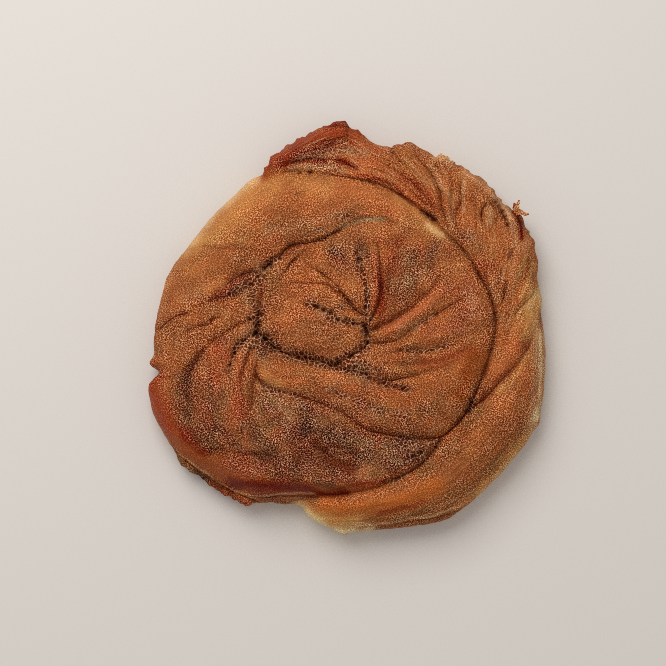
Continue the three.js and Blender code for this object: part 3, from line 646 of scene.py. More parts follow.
        ("tan", [(44, 58.6), (48, 56), (52, 52.6), (56, 48.6)], 1.8, 0.6),
        ("tan", [(33.2, 64), (36.2, 64.4), (38.6, 62.4)], 1.6, 0.85),
        ("tan", [(55, 48.8), (58.6, 45.4), (61, 41.4)], 1, 0.7),
        ("gold", [(66.4, 26), (63.8, 19), (61, 12)], 0.9, 0.9),
        ("gold", [(69.4, 24), (67.4, 17), (64.6, 11.4)], 1, 0.9),
        ("orange", [(63.6, 17), (62.4, 11), (61.6, 6)], 2.4, 0.7),
        ("gold", [(70, 12), (66.6, 7), (63.6, 5)], 2.6, 0.75),
        ("cream", [(70.6, 13), (67.6, 7.4)], 1.4, 0.4),
        ("straw", [(61.6, 25), (62.6, 20)], 2, 0.4),
        ("redBrown", [(-28, 64.4), (-18, 69.2), (-8, 73.4), (3, 72.8)], 3, 1),
        ("red", [(-25, 63), (-14, 67.2), (-5, 69.2)], 2.1, 0.95),
        ("wine", [(-6.6, 76.6), (-3, 77.2), (-0.4, 77.8)], 1.5, 0.9),
        ("rose", [(-16, 67.6), (-6, 70), (4, 69)], 1.6, 0.5),
        ("rust", [(2, 70), (10, 66.6)], 2, 0.5),
        ("straw", [(-19, 63.6), (-13, 64.6), (-6, 66), (2, 66.6), (7, 65.6)], 1.7, 0.55),
        ("rose", [(-10, 66.8), (-2, 67.6)], 1.4, 0.45),
        # red of the flap, partly painted shade along the step above the sponge, the next two strokes
        ("rose", [(-20, 66), (-14, 67.4), (-8, 68.6)], 2, 0.8),
        ("red", [(-20, 66.6), (-14, 68), (-9, 68.8)], 1.8, 0.5),
        ("redBrown", [(-31.4, 57.4), (-28.6, 61)], 2, 0.9),
        ("amber", [(-30, 57.6), (-24, 58)], 1.5, 0.6),
        ("rust", [(5, 68.4), (11, 66.8)], 1.8, 0.5),
        ("olive", [(-22, 59.8), (-14, 61), (-6, 61)], 1.5, 0.25),
        ("straw", [(-22, 60.4), (-14, 61), (-6, 60.6), (-2, 59.6)], 1.4, 0.55),
        # painted shade under the flap's lower edge and in the slit at its end, the next three strokes
        ("redBrown", [(-27, 60), (-23, 62)], 1, 0.9),
        ("wine", [(-25, 61.6), (-20, 62.4), (-14, 63.2), (-8, 63)], 1.2, 0.85),
        ("wine", [(-4, 62.6), (0, 61.6), (3, 60.3)], 1.3, 1),
        ("redBrown", [(4, 57.6), (10, 56.4), (15, 54.2), (20, 51)], 1, 0.8),
    ],
    # smooth crust, open sponge, pores along the seams, gloss and drawn-out streaks: path, width, strength
    "texture": {
        "smooth": [
            ([(0, 65), (20, 60), (36, 52), (50, 40), (62, 22)], 10, 0.5),
            ([(-46, 36), (-32, 46), (-12, 47), (10, 45)], 8, 0.4),
            ([(-40, 47), (-25, 53.6), (-5, 53.6), (12, 50.4), (22, 45)], 5, 0.65),
            ([(-64, 14), (-56, 21), (-48, 26)], 6, 0.6),
            ([(-46, 37), (-34, 38)], 4, 0.4),
            ([(-32, -15.6), (-29.6, -19), (-24, -20.6)], 2.2, 0.7),
            ([(-52, 14), (-46, 17), (-38, 21)], 2.8, 0.6),
            ([(22, 33), (30, 31)], 3, 0.5),
            ([(34, -14), (46, -12), (58, -14)], 6, 0.6),
            ([(56, -20), (48, -34)], 4, 0.4),
            ([(-32, 56), (-44, 46.5), (-55, 34.5), (-63, 25)], 5, 1),
            ([(-28, 56), (-14, 56), (0, 53.6)], 3, 0.6),
            ([(18, 49.6), (26, 43.4), (35, 35.6)], 2.6, 0.8),
            ([
                (-72, -24), (-67, -37), (-58, -47), (-46, -54.6), (-34, -58.6), (-14, -60.6), (8, -59.6),
            ], 3.2, 0.95),
            ([(-16, -67.4), (-4, -70), (12, -67.4), (28, -61), (42, -52)], 5, 0.8),
            ([(-66, -38), (-58, -46), (-50, -50)], 3.4, 0.9),
            ([(-5, -50), (3, -53.2)], 2.2, 0.8),
            ([(-12.4, -42.8), (-8.6, -45.4)], 1.9, 0.8),
            ([(-61, -37), (-55, -42)], 2.4, 0.6),
            ([(-53, -52), (-46, -54)], 2.4, 0.7),
            ([(-20, -64), (-6, -64)], 2, 0.7),
            ([(6, -60), (14, -59.4)], 2.4, 0.6),
            ([(45, -54), (51, -50)], 3, 0.5),
            ([(68, 12), (67.6, 4), (70, -2)], 3, 0.7),
            ([(-27, 66), (-16, 70.4), (-6, 73.4), (4, 72)], 2.6, 0.9),
            ([(16, 0.6), (24, 5), (33, 12)], 2, 0.8),
            ([(28, -13), (37, -11.4), (46, -8.6)], 2.8, 0.6),
            ([(28, -22), (38, -19), (47, -15)], 4, 0.55),
        ],
        "sponge": [
            ([(-63, -22), (-62, -34), (-54, -43)], 5, 0.75),
            ([(-50, -18), (-51, -34), (-46, -44)], 6, 0.75),
            ([(-33, 26), (-33, 12)], 3.2, 0.6),
            ([(-38, 0), (-38, -5)], 2.4, 0.7),
            ([(6, 28), (8, 16)], 3, 0.6),
            ([(30, -46), (42, -40)], 4, 0.5),
            ([(-32, -33), (-18, -40), (-4, -43), (12, -46), (24, -47)], 8, 1),
            ([(-24, -50), (-10, -52), (6, -51)], 5, 0.8),
            ([(19, 12), (24, 18), (24, 26), (30, 22)], 5.4, 0.9),
            ([(-5, 28), (-2, 24)], 4, 0.9),
            ([(-19, 63.8), (-12, 65.2), (-4, 66.6), (6, 66)], 2.6, 1),
            ([(-22, 60), (-12, 61.4), (-3, 60)], 1.6, 0.8),
            ([(-22, -28), (-10, -30), (0, -31), (12, -33), (20, -34)], 4, 1),
            ([(0, -12), (8, -14), (18, -21)], 4, 0.8),
            ([(-36, 17), (-40, 14)], 4, 0.8),
            ([(-24, 38), (-12, 40)], 3, 0.6),
            ([(58, 18), (56, 24)], 3, 0.7),
            ([(47, 42), (47, 34)], 4, 0.6),
            ([(12, -32), (22, -35), (30, -32)], 5, 0.7),
        ],
        "open": [
            ([(-33, -2), (-27, -7.3), (-18, -10.8), (-6, -13.2), (5, -16.4), (13, -21)], 2.3, 1),
            ([(-33.6, 7), (-34.4, 0), (-34.6, -4.6), (-39, -6)], 3, 1),
            ([(6.4, 4), (6.8, -2), (7.2, -6), (1, -10.6), (-4, -13)], 2.3, 1),
            ([(6, 2), (-3.6, 3), (-11.6, 7.8), (-14.6, 9.2)], 1.7, 1),
            ([(6.8, 4), (7.1, 13), (5.6, 21)], 1.4, 0.7),
            ([(4.6, 21), (3.6, 28)], 2.2, 0.6),
            ([(0, -12), (5, -14.4), (10, -17.6)], 3, 0.9),
            ([(-33.4, 18.6), (-30.4, 23.4), (-26, 26.6)], 2, 0.9),
            ([(-34, 19.6), (-38, 16.2), (-44, 12.8)], 1.6, 0.9),
            ([(-33, 18), (-36, 13.4), (-34, 8)], 3.2, 0.5),
            ([(17, -22), (22, -23)], 1.3, 0.9),
            ([(20, -42.6), (27, -45.6), (31, -44)], 2.6, 0.9),
            ([(22, -49), (29, -47.6)], 2.2, 0.8),
            ([(46.6, -26.6), (45.4, -30)], 1.6, 0.9),
            ([(43, 34.6), (47, 33.4)], 1.8, 0.45),
            ([(58.4, 23), (57, 19.6), (55.8, 16.4)], 1.5, 0.45),
            ([(22, -8.4), (30, -8.6), (37, -6.8)], 1, 0.7),
            ([(24, 0), (28, 2.4), (33, 5)], 1.2, 0.7),
            ([(-42, -8), (-44, -15)], 1.2, 0.7),
            ([(-4, 41.6), (1, 42.4)], 1.3, 0.7),
            ([(-13, 37), (-8, 36.6)], 1.2, 0.6),
            ([(-31.6, -21.6), (-29, -23.2), (-25, -24.6), (-19, -25.2)], 1.4, 0.9),
            ([(-8, -23), (2, -26.2), (12, -31), (22, -32.4)], 1.8, 0.6),
            ([(-17, 64.4), (-8, 66.4), (2, 66.8), (7, 65.4)], 2.2, 0.4),
            ([(-15, 60.8), (-8, 61), (-3, 60)], 1.6, 0.35),
            ([(16, -57.2), (22, -54.4)], 1.2, 0.7),
        ],
        "gloss": [
            ([(-72, -26), (-67, -38), (-58, -48), (-46, -56), (-34, -60), (-14, -61), (6, -60)], 3.6, 1),
            ([(-34, 54), (-46, 45), (-58, 31)], 6, 0.5),
            ([(-8, -66), (10, -66), (30, -62), (46, -52)], 5, 0.4),
            ([(-24, 67), (-10, 73), (2, 72.4)], 2.4, 0.6),
        ],
        "streaky": [
            ([(0, 66), (20, 60), (36, 52), (50, 38), (60, 20), (62, 4)], 10, 0.7),
            ([(2, -73), (20, -71), (36, -67), (46, -60)], 2.6, 0.8),
            ([(72, 6), (73, -8), (72.5, -20), (71, -34)], 2.6, 1),
            ([(-26, 65), (-12, 69.6), (0, 71)], 3.6, 0.8),
            ([(-34, -64), (-20, -63.6)], 1.6, 0.8),
        ],
    },
}


def smoothLine(points, steps=5):
    # a smooth curve through the points
    p = np.array(points, float)
    p = np.vstack([2 * p[0] - p[1], p, 2 * p[-1] - p[-2]])
    t = np.linspace(0, 1, steps, endpoint=False)[:, None]
    parts = [
        0.5 * (2 * b + (c - a) * t + (2 * a - 5 * b + 4 * c - d) * t**2 + (3 * b - a - 3 * c + d) * t**3)
        for a, b, c, d in zip(p, p[1:], p[2:], p[3:])
    ]
    return np.vstack(parts + [p[-2:-1]])


def nearLine(xy, line, reach):
    # points within reach of the line: numbers, distance, foot on the line, whether they lie to its left
    low, high = line[:, :2].min(0) - reach, line[:, :2].max(0) + reach
    near = np.flatnonzero(((xy > low) & (xy < high)).all(1))
    p = xy[near]
    distance = np.full(len(near), np.inf)
    foot = np.zeros((len(near), line.shape[1]))
    left = np.zeros(len(near), bool)
    for a, b in zip(line, line[1:]):
        step = b[:2] - a[:2]
        t = np.clip((p - a[:2]) @ step / (step @ step), 0, 1)[:, None]
        point = a + (b - a) * t
        away = p - point[:, :2]
        d = np.hypot(away[:, 0], away[:, 1])
        closer = d < distance
        distance[closer] = d[closer]
        foot[closer] = point[closer]
        left[closer] = (step[0] * away[:, 1] - step[1] * away[:, 0] > 0)[closer]
    return near, distance, foot, left


def bell(away, spread):
    return np.exp(-((away / spread) ** 2))


def turnAway(degrees, at):
    return np.abs((degrees - at + 180) % 360 - 180)


def polar(points, center=(0, 0)):
    x, y = points[:, 0] - center[0], points[:, 1] - center[1]
    return np.arctan2(y, x), np.hypot(x, y)


def noiseAt(points, size, shift):
    # each use has a shift of its own
    offset = Vector((shift, 3.1 * shift, -1.7 * shift))
    return np.array([noise.noise(Vector(p) / size + offset) for p in points])


def bandMask(xy, entries, cutOff=2.5):
    # strokes that fade out sideways and end at the cut-off, in widths
    mask = np.zeros(len(xy))
    for path, width, strength in entries:
        near, distance, _, _ = nearLine(xy, smoothLine(path, 3), width * cutOff)
        mask[near] = np.maximum(mask[near], strength * bell(distance, width))
    return mask


def edgeTable():
    # radius of the outline at every quarter degree, ragged as it is and smoothed
    angle, far = polar(smoothLine(roll["outline"] + roll["outline"][:1], 8))
    turn = np.arange(-180, 180, 0.25)
    radius = np.interp(turn, *zip(*sorted(zip(np.degrees(angle), far))), period=360)
    wave = np.radians(turn)[:, None]
    circle = np.hstack([np.cos(wave), np.sin(wave), 0 * wave]) * roll["raggedRadius"]
    rough = sum(share * noiseAt(circle, size, shift) for size, shift, share in roll["raggedGrain"])
    depth = sum(deep * bell(turnAway(turn, at), spread) for at, spread, deep in roll["ragged"])
    radius = radius + rough * depth
    reach, spread = roll["rimWindow"]
    window = bell(np.arange(-reach, reach + 1), spread)
    smooth = np.convolve(np.r_[radius[-reach:], radius, radius[:reach]], window / window.sum(), "valid")
    return turn, radius, smooth


def strandPlace(xy):
    # across and along the torn strand, whose streaks slant in towards the middle
    angle, far = polar(xy)
    degrees = np.degrees(angle)
    right, left = roll["streakSlant"]
    across = far - right * np.clip(degrees, 0, 90) + left * np.clip(degrees - 90, 0, 90)
    return np.column_stack([across, degrees / roll["streakTurn"], 0 * across])


def overRim(angle, wide, high, cuts=12):
    # how much longer the way over the rounded rim is than it looks from above
    steps = (np.arange(cuts) + 0.5) / cuts
    way = sum(np.hypot(wide * np.cos(angle * s), high * np.sin(angle * s)) for s in steps) / cuts
    return angle * way - wide * np.sin(angle)


def skinPlace(points, extra):
    # the crust laid flat, the sides folded out
    _, far = polar(points)
    out = np.maximum(far, 0.1)
    return np.column_stack([points[:, :2] * (1 + extra / out)[:, None], 0 * out])


def wrinkleAt(points):
    # fine wrinkles along the dough: out from the pinch in the middle, round and round on the outer turn
    flows = []
    for center, (across, along) in ((roll["pinch"], roll["fanWrinkles"]), ((0, 0), roll["ringWrinkles"])):
        angle, far = polar(points, center)
        flows.append(np.column_stack([np.cos(angle) * across, np.sin(angle) * across, far / along]))
    _, far = polar(points, roll["heartPlace"])
    flow = np.where((far < roll["heartRadius"])[:, None], *flows)
    return noiseAt(flow, 1, 14.0) + 0.6 * noiseAt(flow, 0.5, 15.0)


def underEye(points):
    # higher points looked further out to the eye than they are
    eye = np.array(roll["eye"])
    share = (eye[2] - np.maximum(points[:, 2:], roll["edgeHeight"])) / (eye[2] - roll["edgeHeight"])
    return np.column_stack([eye[:2] + (points[:, :2] - eye[:2]) * share, points[:, 2]])


def noMarks(count):
    far = roll["noLine"]
    return {"side": np.full(count, far), "away": np.full(count, far), "creaseShade": np.zeros(count)}


def carve(xy):
    # depth of all folds, softly joined, and for the closest painted shade line its side, distance in widths
    # and how much shade it paints
    total = np.zeros(len(xy))
    line = noMarks(len(xy))
    roundness = roll["flankRoundness"]
    for fold in roll["folds"].values():
        reach = max(*fold["reach"], roll["lineReach"])
        near, distance, foot, left = nearLine(xy, smoothLine(fold["path"]), reach)
        flank = np.where(left, *fold["reach"])
        inward = 1 - np.clip((distance - fold.get("floor", 0)) / flank, 0, 1)
        profile = 1 - (1 - inward**roundness) ** (1 / roundness)
        total[near] += (np.maximum(foot[:, 2], 0) * profile) ** roll["seamBlend"]
        ratio = distance / fold.get("width", roll["lineWidth"])
        closer = ratio < line["away"][near]
        take = near[closer]
        line["away"][take] = ratio[closer]
        line["side"][take] = np.where(left, ratio, -ratio)[closer]
        line["creaseShade"][take] = np.clip(foot[closer, 3], 0, 1)
    return total ** (1 / roll["seamBlend"]), line


def swell(xy):
    rise = np.zeros(len(xy))
    for path, width in roll["ridges"]:
        near, distance, foot, _ = nearLine(xy, smoothLine(path), width)
        rise[near] += np.maximum(foot[:, 2], 0) * np.cos(np.clip(distance / width, 0, 1) * math.pi / 2) ** 2
    return rise


def drawIn(xy, held):
    # points close to a deep seam move closer still, so that the mesh follows it
    moved = xy.copy()
    closest = np.full(len(xy), roll["seamDraw"])
    for name in roll["deepSeams"]:
        near, distance, foot, _ = nearLine(xy, smoothLine(roll["folds"][name]["path"]), roll["seamDraw"])
        take = distance < closest[near]
        near, distance, foot = near[take], distance[take], foot[take]
        closest[near] = distance
        pull = (1 - distance / roll["seamDraw"]) * held[near]
        moved[near] = xy[near] + (foot[:, :2] - xy[near]) * pull[:, None]
    return moved


def rollShape(ball):
    angle, _ = polar(ball)
    degrees = np.degrees(angle)
    way = np.stack([np.cos(np.radians(degrees)), np.sin(np.radians(degrees))], 1)
    turn, radius, smooth = edgeTable()
    edge = np.interp(degrees, turn, radius, period=360)
    inner = np.interp(degrees, turn, smooth, period=360)
    ledge = bell(turnAway(degrees, roll["ledgeAt"]), roll["ledgeSpread"])
    rim = roll["edgeHeight"] - roll["ledgeDrop"] * ledge
    tornMiddle = (roll["tornFrom"] + roll["tornTo"]) / 2
    inTorn = roll["tornTo"] - tornMiddle - turnAway(degrees, tornMiddle)
    torn = np.clip(inTorn / roll["tornBlend"] + 0.5, 0, 1)
    rounding = roll["edgeRounding"] + (roll["tornRounding"] - roll["edgeRounding"]) * torn
    above = (1 - ball[:, 2]) / 2
    top = above <= roll["topShare"]

    # side and underside
    belt = np.clip((above - roll["topShare"]) / roll["sideShare"], 0, 1) * math.pi / 2
    rest = 1 - roll["topShare"] - roll["sideShare"]
    foot = np.sqrt(np.clip((1 - above) / rest, 0, 1))
    out = (edge - roll["tuck"] * (1 - np.cos(belt))) * foot
    points = np.column_stack([way * out[:, None], rim * (1 - np.sin(belt))])
    extra = overRim(math.pi / 2, rounding, roll["shoulder"] - rim) + rim - points[:, 2]

    # top, ragged only close to the rim
    s = np.sqrt(above[top] / roll["topShare"])
    share = s * (1 + roll["edgeCrowding"] * (1 - s * s))
    out = inner[top] * share + (edge - inner)[top] * s ** roll["raggedFade"]
    inset = inner[top] * (1 - share) / rounding[top]
    xy = drawIn(way[top] * out[:, None], np.clip(inset * 3 - 0.3, 0, 1))  # the rim itself stays
    crown = roll["shoulder"] + sum(
        rise * bell(np.hypot(xy[:, 0] - x, xy[:, 1] - y), spread) for x, y, spread, rise in roll["swells"]
    )
    lean = np.arcsin(np.clip(1 - inset, 0, 1))
    extra[top] = overRim(lean, rounding[top], roll["shoulder"] - rim[top])
    streaky = bandMask(xy, roll["texture"]["streaky"])
    streak = noiseAt(strandPlace(skinPlace(xy, extra[top])), roll["streakWidth"], 3.0)
    crown = crown + swell(xy) + roll["streakHeight"] * streaky * streak
    depth, line = carve(xy)
    over = np.sqrt(1 - np.clip(1 - inset, 0, 1) ** 2)
    points[top] = np.column_stack([xy, rim[top] + (crown - depth - rim[top]) * over])
    marks = noMarks(len(ball))
    for name, values in line.items():
        marks[name][top] = values
    return points, marks, top, extra


def daylight(color):
    # sRGB from 0 to 255 as linear light
    color = np.asarray(color) / 255
    return np.where(color < 0.04, color / 12.92, ((color + 0.055) / 1.055) ** 2.4)


def tintTo(color, name, share):
    color += (np.array(crust[name]) - color) * share[:, None]


def paintRoll(points, wrinkle):
    wander = np.column_stack([noiseAt(points, crust["wanderSize"], shift) for shift in (8.0, 9.0)])
    shifted = points[:, :2] + crust["wander"] * wander
    share = sum((part * noiseAt(points, size, shift) for size, shift, part in crust["blotches"]), 0.5)
    color = np.tile(np.array(crust["brown"], float), (len(points), 1))
    tintTo(color, "base", np.clip(share, 0, 1))
    low = np.clip((roll["edgeHeight"] - points[:, 2]) / crust["sideFade"], 0, 1)
    tintTo(color, "gold", low * crust["sideGold"])
    for name, path, width, strength in roll["paint"]:
        tintTo(color, name, bandMask(shifted, [(path, width, strength)]))
    tintTo(color, "straw", crust["openStraw"] * bandMask(shifted, roll["texture"]["open"]))

    # mottled most where the crust is spongy, least where it is smooth
    sponge, smooth = (bandMask(points[:, :2], roll["texture"][name]) for name in ("sponge", "smooth"))
    more, less = crust["spongeMottle"], crust["smoothMottle"]
    rough = (1 - more + more * sponge) * (1 - less * smooth)
    for name, size, strength in crust["mottle"]:
        patch = np.clip(crust["mottleEdge"] * noiseAt(points, size, 12 + 1.3 * size), 0, 1)
        tintTo(color, name, patch * rough * strength)
    # painted light and shade along the fine wrinkles: lighter where they rise, darker where they sink
    color *= 1 + crust["wrinkleLightAndShade"] * (wrinkle * rough)[:, None]
    return daylight(color)


def addMask(mesh, name, values):
    mesh.attributes.new(name, "FLOAT", "POINT").data.foreach_set("value", values)


def addVector(mesh, name, values):
    mesh.attributes.new(name, "FLOAT_VECTOR", "POINT").data.foreach_set("vector", values.ravel())


def addTint(mesh, color):
    rgba = np.column_stack([color, np.ones(len(color))])
    mesh.attributes.new("tint", "FLOAT_COLOR", "POINT").data.foreach_set("color", rgba.ravel())


def addObject(name, data):
    item = bpy.data.objects.new(name, data)
    bpy.context.scene.collection.objects.link(item)
    return item


def makeRoll():
    bm = bmesh.new()
    bmesh.ops.create_icosphere(bm, subdivisions=1, radius=1)
    bmesh.ops.subdivide_edges(bm, edges=bm.edges[:], cuts=roll["ballCuts"], use_grid_fill=True)
    bmesh.ops.triangulate(bm, faces=bm.faces[:])
    ball = np.array([v.co.normalized() for v in bm.verts])
    points, marks, top, extra = rollShape(ball)
    print("roll shaped", len(points), "points")

    # big pores, sunk into the crust, with painted shade marked in their holes
    tree = kdtree.KDTree(int(top.sum()))
    for i in np.flatnonzero(top):
        tree.insert((points[i, 0], points[i, 1], 0), i)
    tree.balance()
    sink = np.zeros(len(points))
    hole = np.zeros(len(points))
    for x, y, size in roll["pores"]:
        deep = size * roll["poreDepth"]
        for _, i, away in tree.find_range((x, y, 0), deep):
            sink[i] = max(sink[i], deep * math.exp(-((away / size) ** 4)))
            hole[i] = max(hole[i], math.exp(-((away / (size * roll["poreDark"])) ** 2)))
    points[:, 2] -= sink

    mesh = bpy.data.meshes.new("rollCrust")
    for v, p in zip(bm.verts, points):
        v.co = p / 1000
    bm.normal_update()
    bm.to_mesh(mesh)
    bm.free()

    # lumps along the surface, none under the flat base
    normals = np.zeros(len(points) * 3)
    mesh.vertex_normals.foreach_get("vector", normals)
    normals = normals.reshape(-1, 3)
    wrinkle = wrinkleAt(points)
    lump = sum(height * noiseAt(points, size, 5 + size) for size, height in roll["lumps"])
    lump = lump + roll["wrinkleHeight"] * wrinkle
    points = points + normals * (lump * np.clip(points[:, 2] / roll["baseFade"], 0, 1))[:, None]
    points[:, 2] = np.maximum(points[:, 2], 0)
    mesh.vertices.foreach_set("co", (underEye(points) / 1000).ravel())

    for name, entries in roll["texture"].items():
        addMask(mesh, name, bandMask(points[:, :2], entries))
    for name, values in marks.items():
        addMask(mesh, name, values)
    addMask(mesh, "hole", hole)
    addMask(mesh, "wrinkle", 0.5 + 0.5 * wrinkle)
    addTint(mesh, paintRoll(points, wrinkle))
    skin = skinPlace(points, extra)
    addVector(mesh, "strand", strandPlace(skin))
    addVector(mesh, "skin", skin / 1000)
    mesh.shade_smooth()
    mesh.update()
    print("roll meshed", len(mesh.polygons), "triangles")
    return addObject("rollCrust", mesh)


# Flakes, loose-edged strips on the torn rim, sizes in millimetres
flakes = {
    "seed": 7,
    "thickness": 0.4,
    "tipWidth": 0.35,  # share of the width at the foot
    "jag": (0.7, 1.2),  # how far the edge wanders, as shares of the width
    "strips": [  # colour, points (x, y, z), half width
        ("redBrown", [(63.6, 41, 13), (62.6, 43.4, 14), (62.6, 45.4, 14.6), (62.4, 47, 14.8)], 1.3),
        ("flake", [(63.4, 42.6, 13.6), (63.2, 44.8, 14.6), (63.8, 46.6, 15), (64.3, 48, 15.2)], 1.2),
        ("flake", [(63.2, 43.8, 14), (65, 43.4, 14.4), (66.4, 42.7, 14.2), (67.9, 42.8, 14)], 1.3),
        ("tan", [(33.4, 62.6, 11), (34.6, 64.6, 12), (35.6, 65.6, 12.2)], 1.1),
        ("tan", [(35.4, 63.2, 11.6), (37, 64.2, 12), (38.4, 63.4, 11.8)], 1),
        ("straw", [(38, 61.8, 11.4), (39.4, 62.4, 11.8), (40.4, 61.8, 11.4)], 0.8),
        ("redBrown", [(-6, 75.6, 8), (-4, 77, 8.8), (-1, 77.8, 9)], 0.7),
        ("straw", [(21, 67.4, 10), (22.2, 68.8, 10.6), (23.2, 69.8, 10.6)], 1),
    ],
}


def makeFlakes():
    random = np.random.default_rng(flakes["seed"])
    half = flakes["thickness"] / 2
    bm = bmesh.new()
    colors = []
    for name, path, width in flakes["strips"]:
        line = smoothLine(path, 4)
        step = np.gradient(line[:, :2], axis=0)
        across = np.column_stack([-step[:, 1], step[:, 0]]) / np.hypot(step[:, 0], step[:, 1])[:, None]
        taper = np.linspace(1, flakes["tipWidth"], len(line))
        wide = width * taper * random.uniform(*flakes["jag"], len(line))
        rings = []
        for (x, y, z), (u, v), h in zip(line, across, wide):
            corners = [(-h, -half), (h, -half), (h, half), (-h, half)]
            rings.append(underEye(np.array([(x + u * a, y + v * a, z + b) for a, b in corners])) / 1000)

        # a first face, drawn out ring by ring
        foot = end = bm.faces.new([bm.verts.new(corner) for corner in rings[0]])
        for ring in rings[1:]:
            grown = bmesh.ops.extrude_face_region(bm, geom=[end])["geom"]
            if end is not foot:
                bmesh.ops.delete(bm, geom=[end], context="FACES_ONLY")
            end = next(item for item in grown if isinstance(item, bmesh.types.BMFace))
            for corner, place in zip(end.verts, ring):
                corner.co = place
        colors += [crust[name]] * (4 * len(line))
    bmesh.ops.recalc_face_normals(bm, faces=bm.faces[:])
    mesh = bpy.data.meshes.new("rollFlakes")
    bm.to_mesh(mesh)
    bm.free()
    addTint(mesh, daylight(np.array(colors, float)))
    addVector(mesh, "skin", np.array([v.co for v in mesh.vertices]))
    print("flakes made", len(flakes["strips"]))
    return addObject("rollFlakes", mesh)


# Crust, colours as they look in daylight (sRGB, 0 to 255)
crust = {
    "base": (171, 98, 51),
    "brown": (146, 83, 45),
    "orange": (198, 112, 61),
    "brightOrange": (188, 100, 42),
    "gold": (203, 146, 81),
    "cream": (238, 211, 161),
    "straw": (184, 138, 98),
    "tan": (214, 164, 116),
    "ash": (142, 114, 80),
    "olive": (126, 80, 43),
    "amber": (148, 69, 24),
    "rust": (164, 78, 42),
    "brick": (150, 62, 28),
    "rose": (106, 46, 25),
    "redBrown": (142, 53, 20),
    "red": (121, 32, 9),
    "pink": (152, 74, 54),
    "wine": (104, 22, 3),
    "sponge": (90, 51, 31),
    "dark": (57, 24, 8),
    "flake": (178, 116, 72),
    "crumb": (216, 176, 142),
    "pitAndFlankShade": (165, 140, 120),  # painted shade, multiplied over the crust on the flanks beside each crease
    # painted shade: crease is the dark of a faint crease line, deep that of a deep crease, a pore's pit and a
    # hole
    "crease": (90, 17, 0),
    "deep": (76, 14, 4),
    # pale flecks of the grain: partly the dough's own pale skin, partly painted glints
    "fleckAndGlint": (252, 246, 243),
    "speck": (246, 246, 255),
    # painting, lengths in millimetres
    "wander": 0.9,  # how far the strokes stray
    "wanderSize": 5,
    "blotches": [(11, 4.0, 1.1), (4, 6.0, 0.5)],  # size, shift, share of the base colour
    "sideFade": 5,
    "sideGold": 0.5,
    "openStraw": 0.35,
    "mottle": [  # colour, size, strength
        ("olive", 7, 0.35), ("rust", 6, 0.35), ("brick", 9, 0.3), ("straw", 4, 0.25),
    ],
    "mottleEdge": 2.5,
    "spongeMottle": 0.4,
    "smoothMottle": 0.85,
    # painted light and shade along the fine wrinkles
    "wrinkleLightAndShade": 0.15,
    # fine grain, lengths in metres, scales for each metre
    "grainSize": 0.00048,
    "grainSlant": 0.45,
    "grainLift": 0.26,  # steps of lightness, 1 from black to white
    "grainDrop": 0.185,
    "grainHeight": 0.00035,
    "lightness": 2.2,  # the power that turns light into lightness
    "smoothGrain": 0.4,
    "spongeGrain": 1.25,
    "poreSize": 0.0016,
    "warpScale": 600.0,
    "warpLength": 0.0009,
    "sandScale": 1100.0,
    "patchScale": 160.0,
    "breakScale": 800.0,
    "streakScale": 1.3,  # for each step across the strand
    # painted highlights and shadows along the torn strand's streaks
    "streakLightAndShade": 0.5,
    # how much painted shade covers the pores' pits and the big pores' holes
    "pitCover": 0.85,
    "holeCover": 0.9,
    "crumbCover": 0.8,
    "pitDepth": 1.2,  # in heights of the grain
    "streakRelief": 1.5,
    "bump": 0.7,
    "roughness": 0.65,
    "glossRoughness": 0.4,
    "specular": 0.02,
    "glossSpecular": 0.07,
}


def linear(color):
    return [*daylight(color), 1]


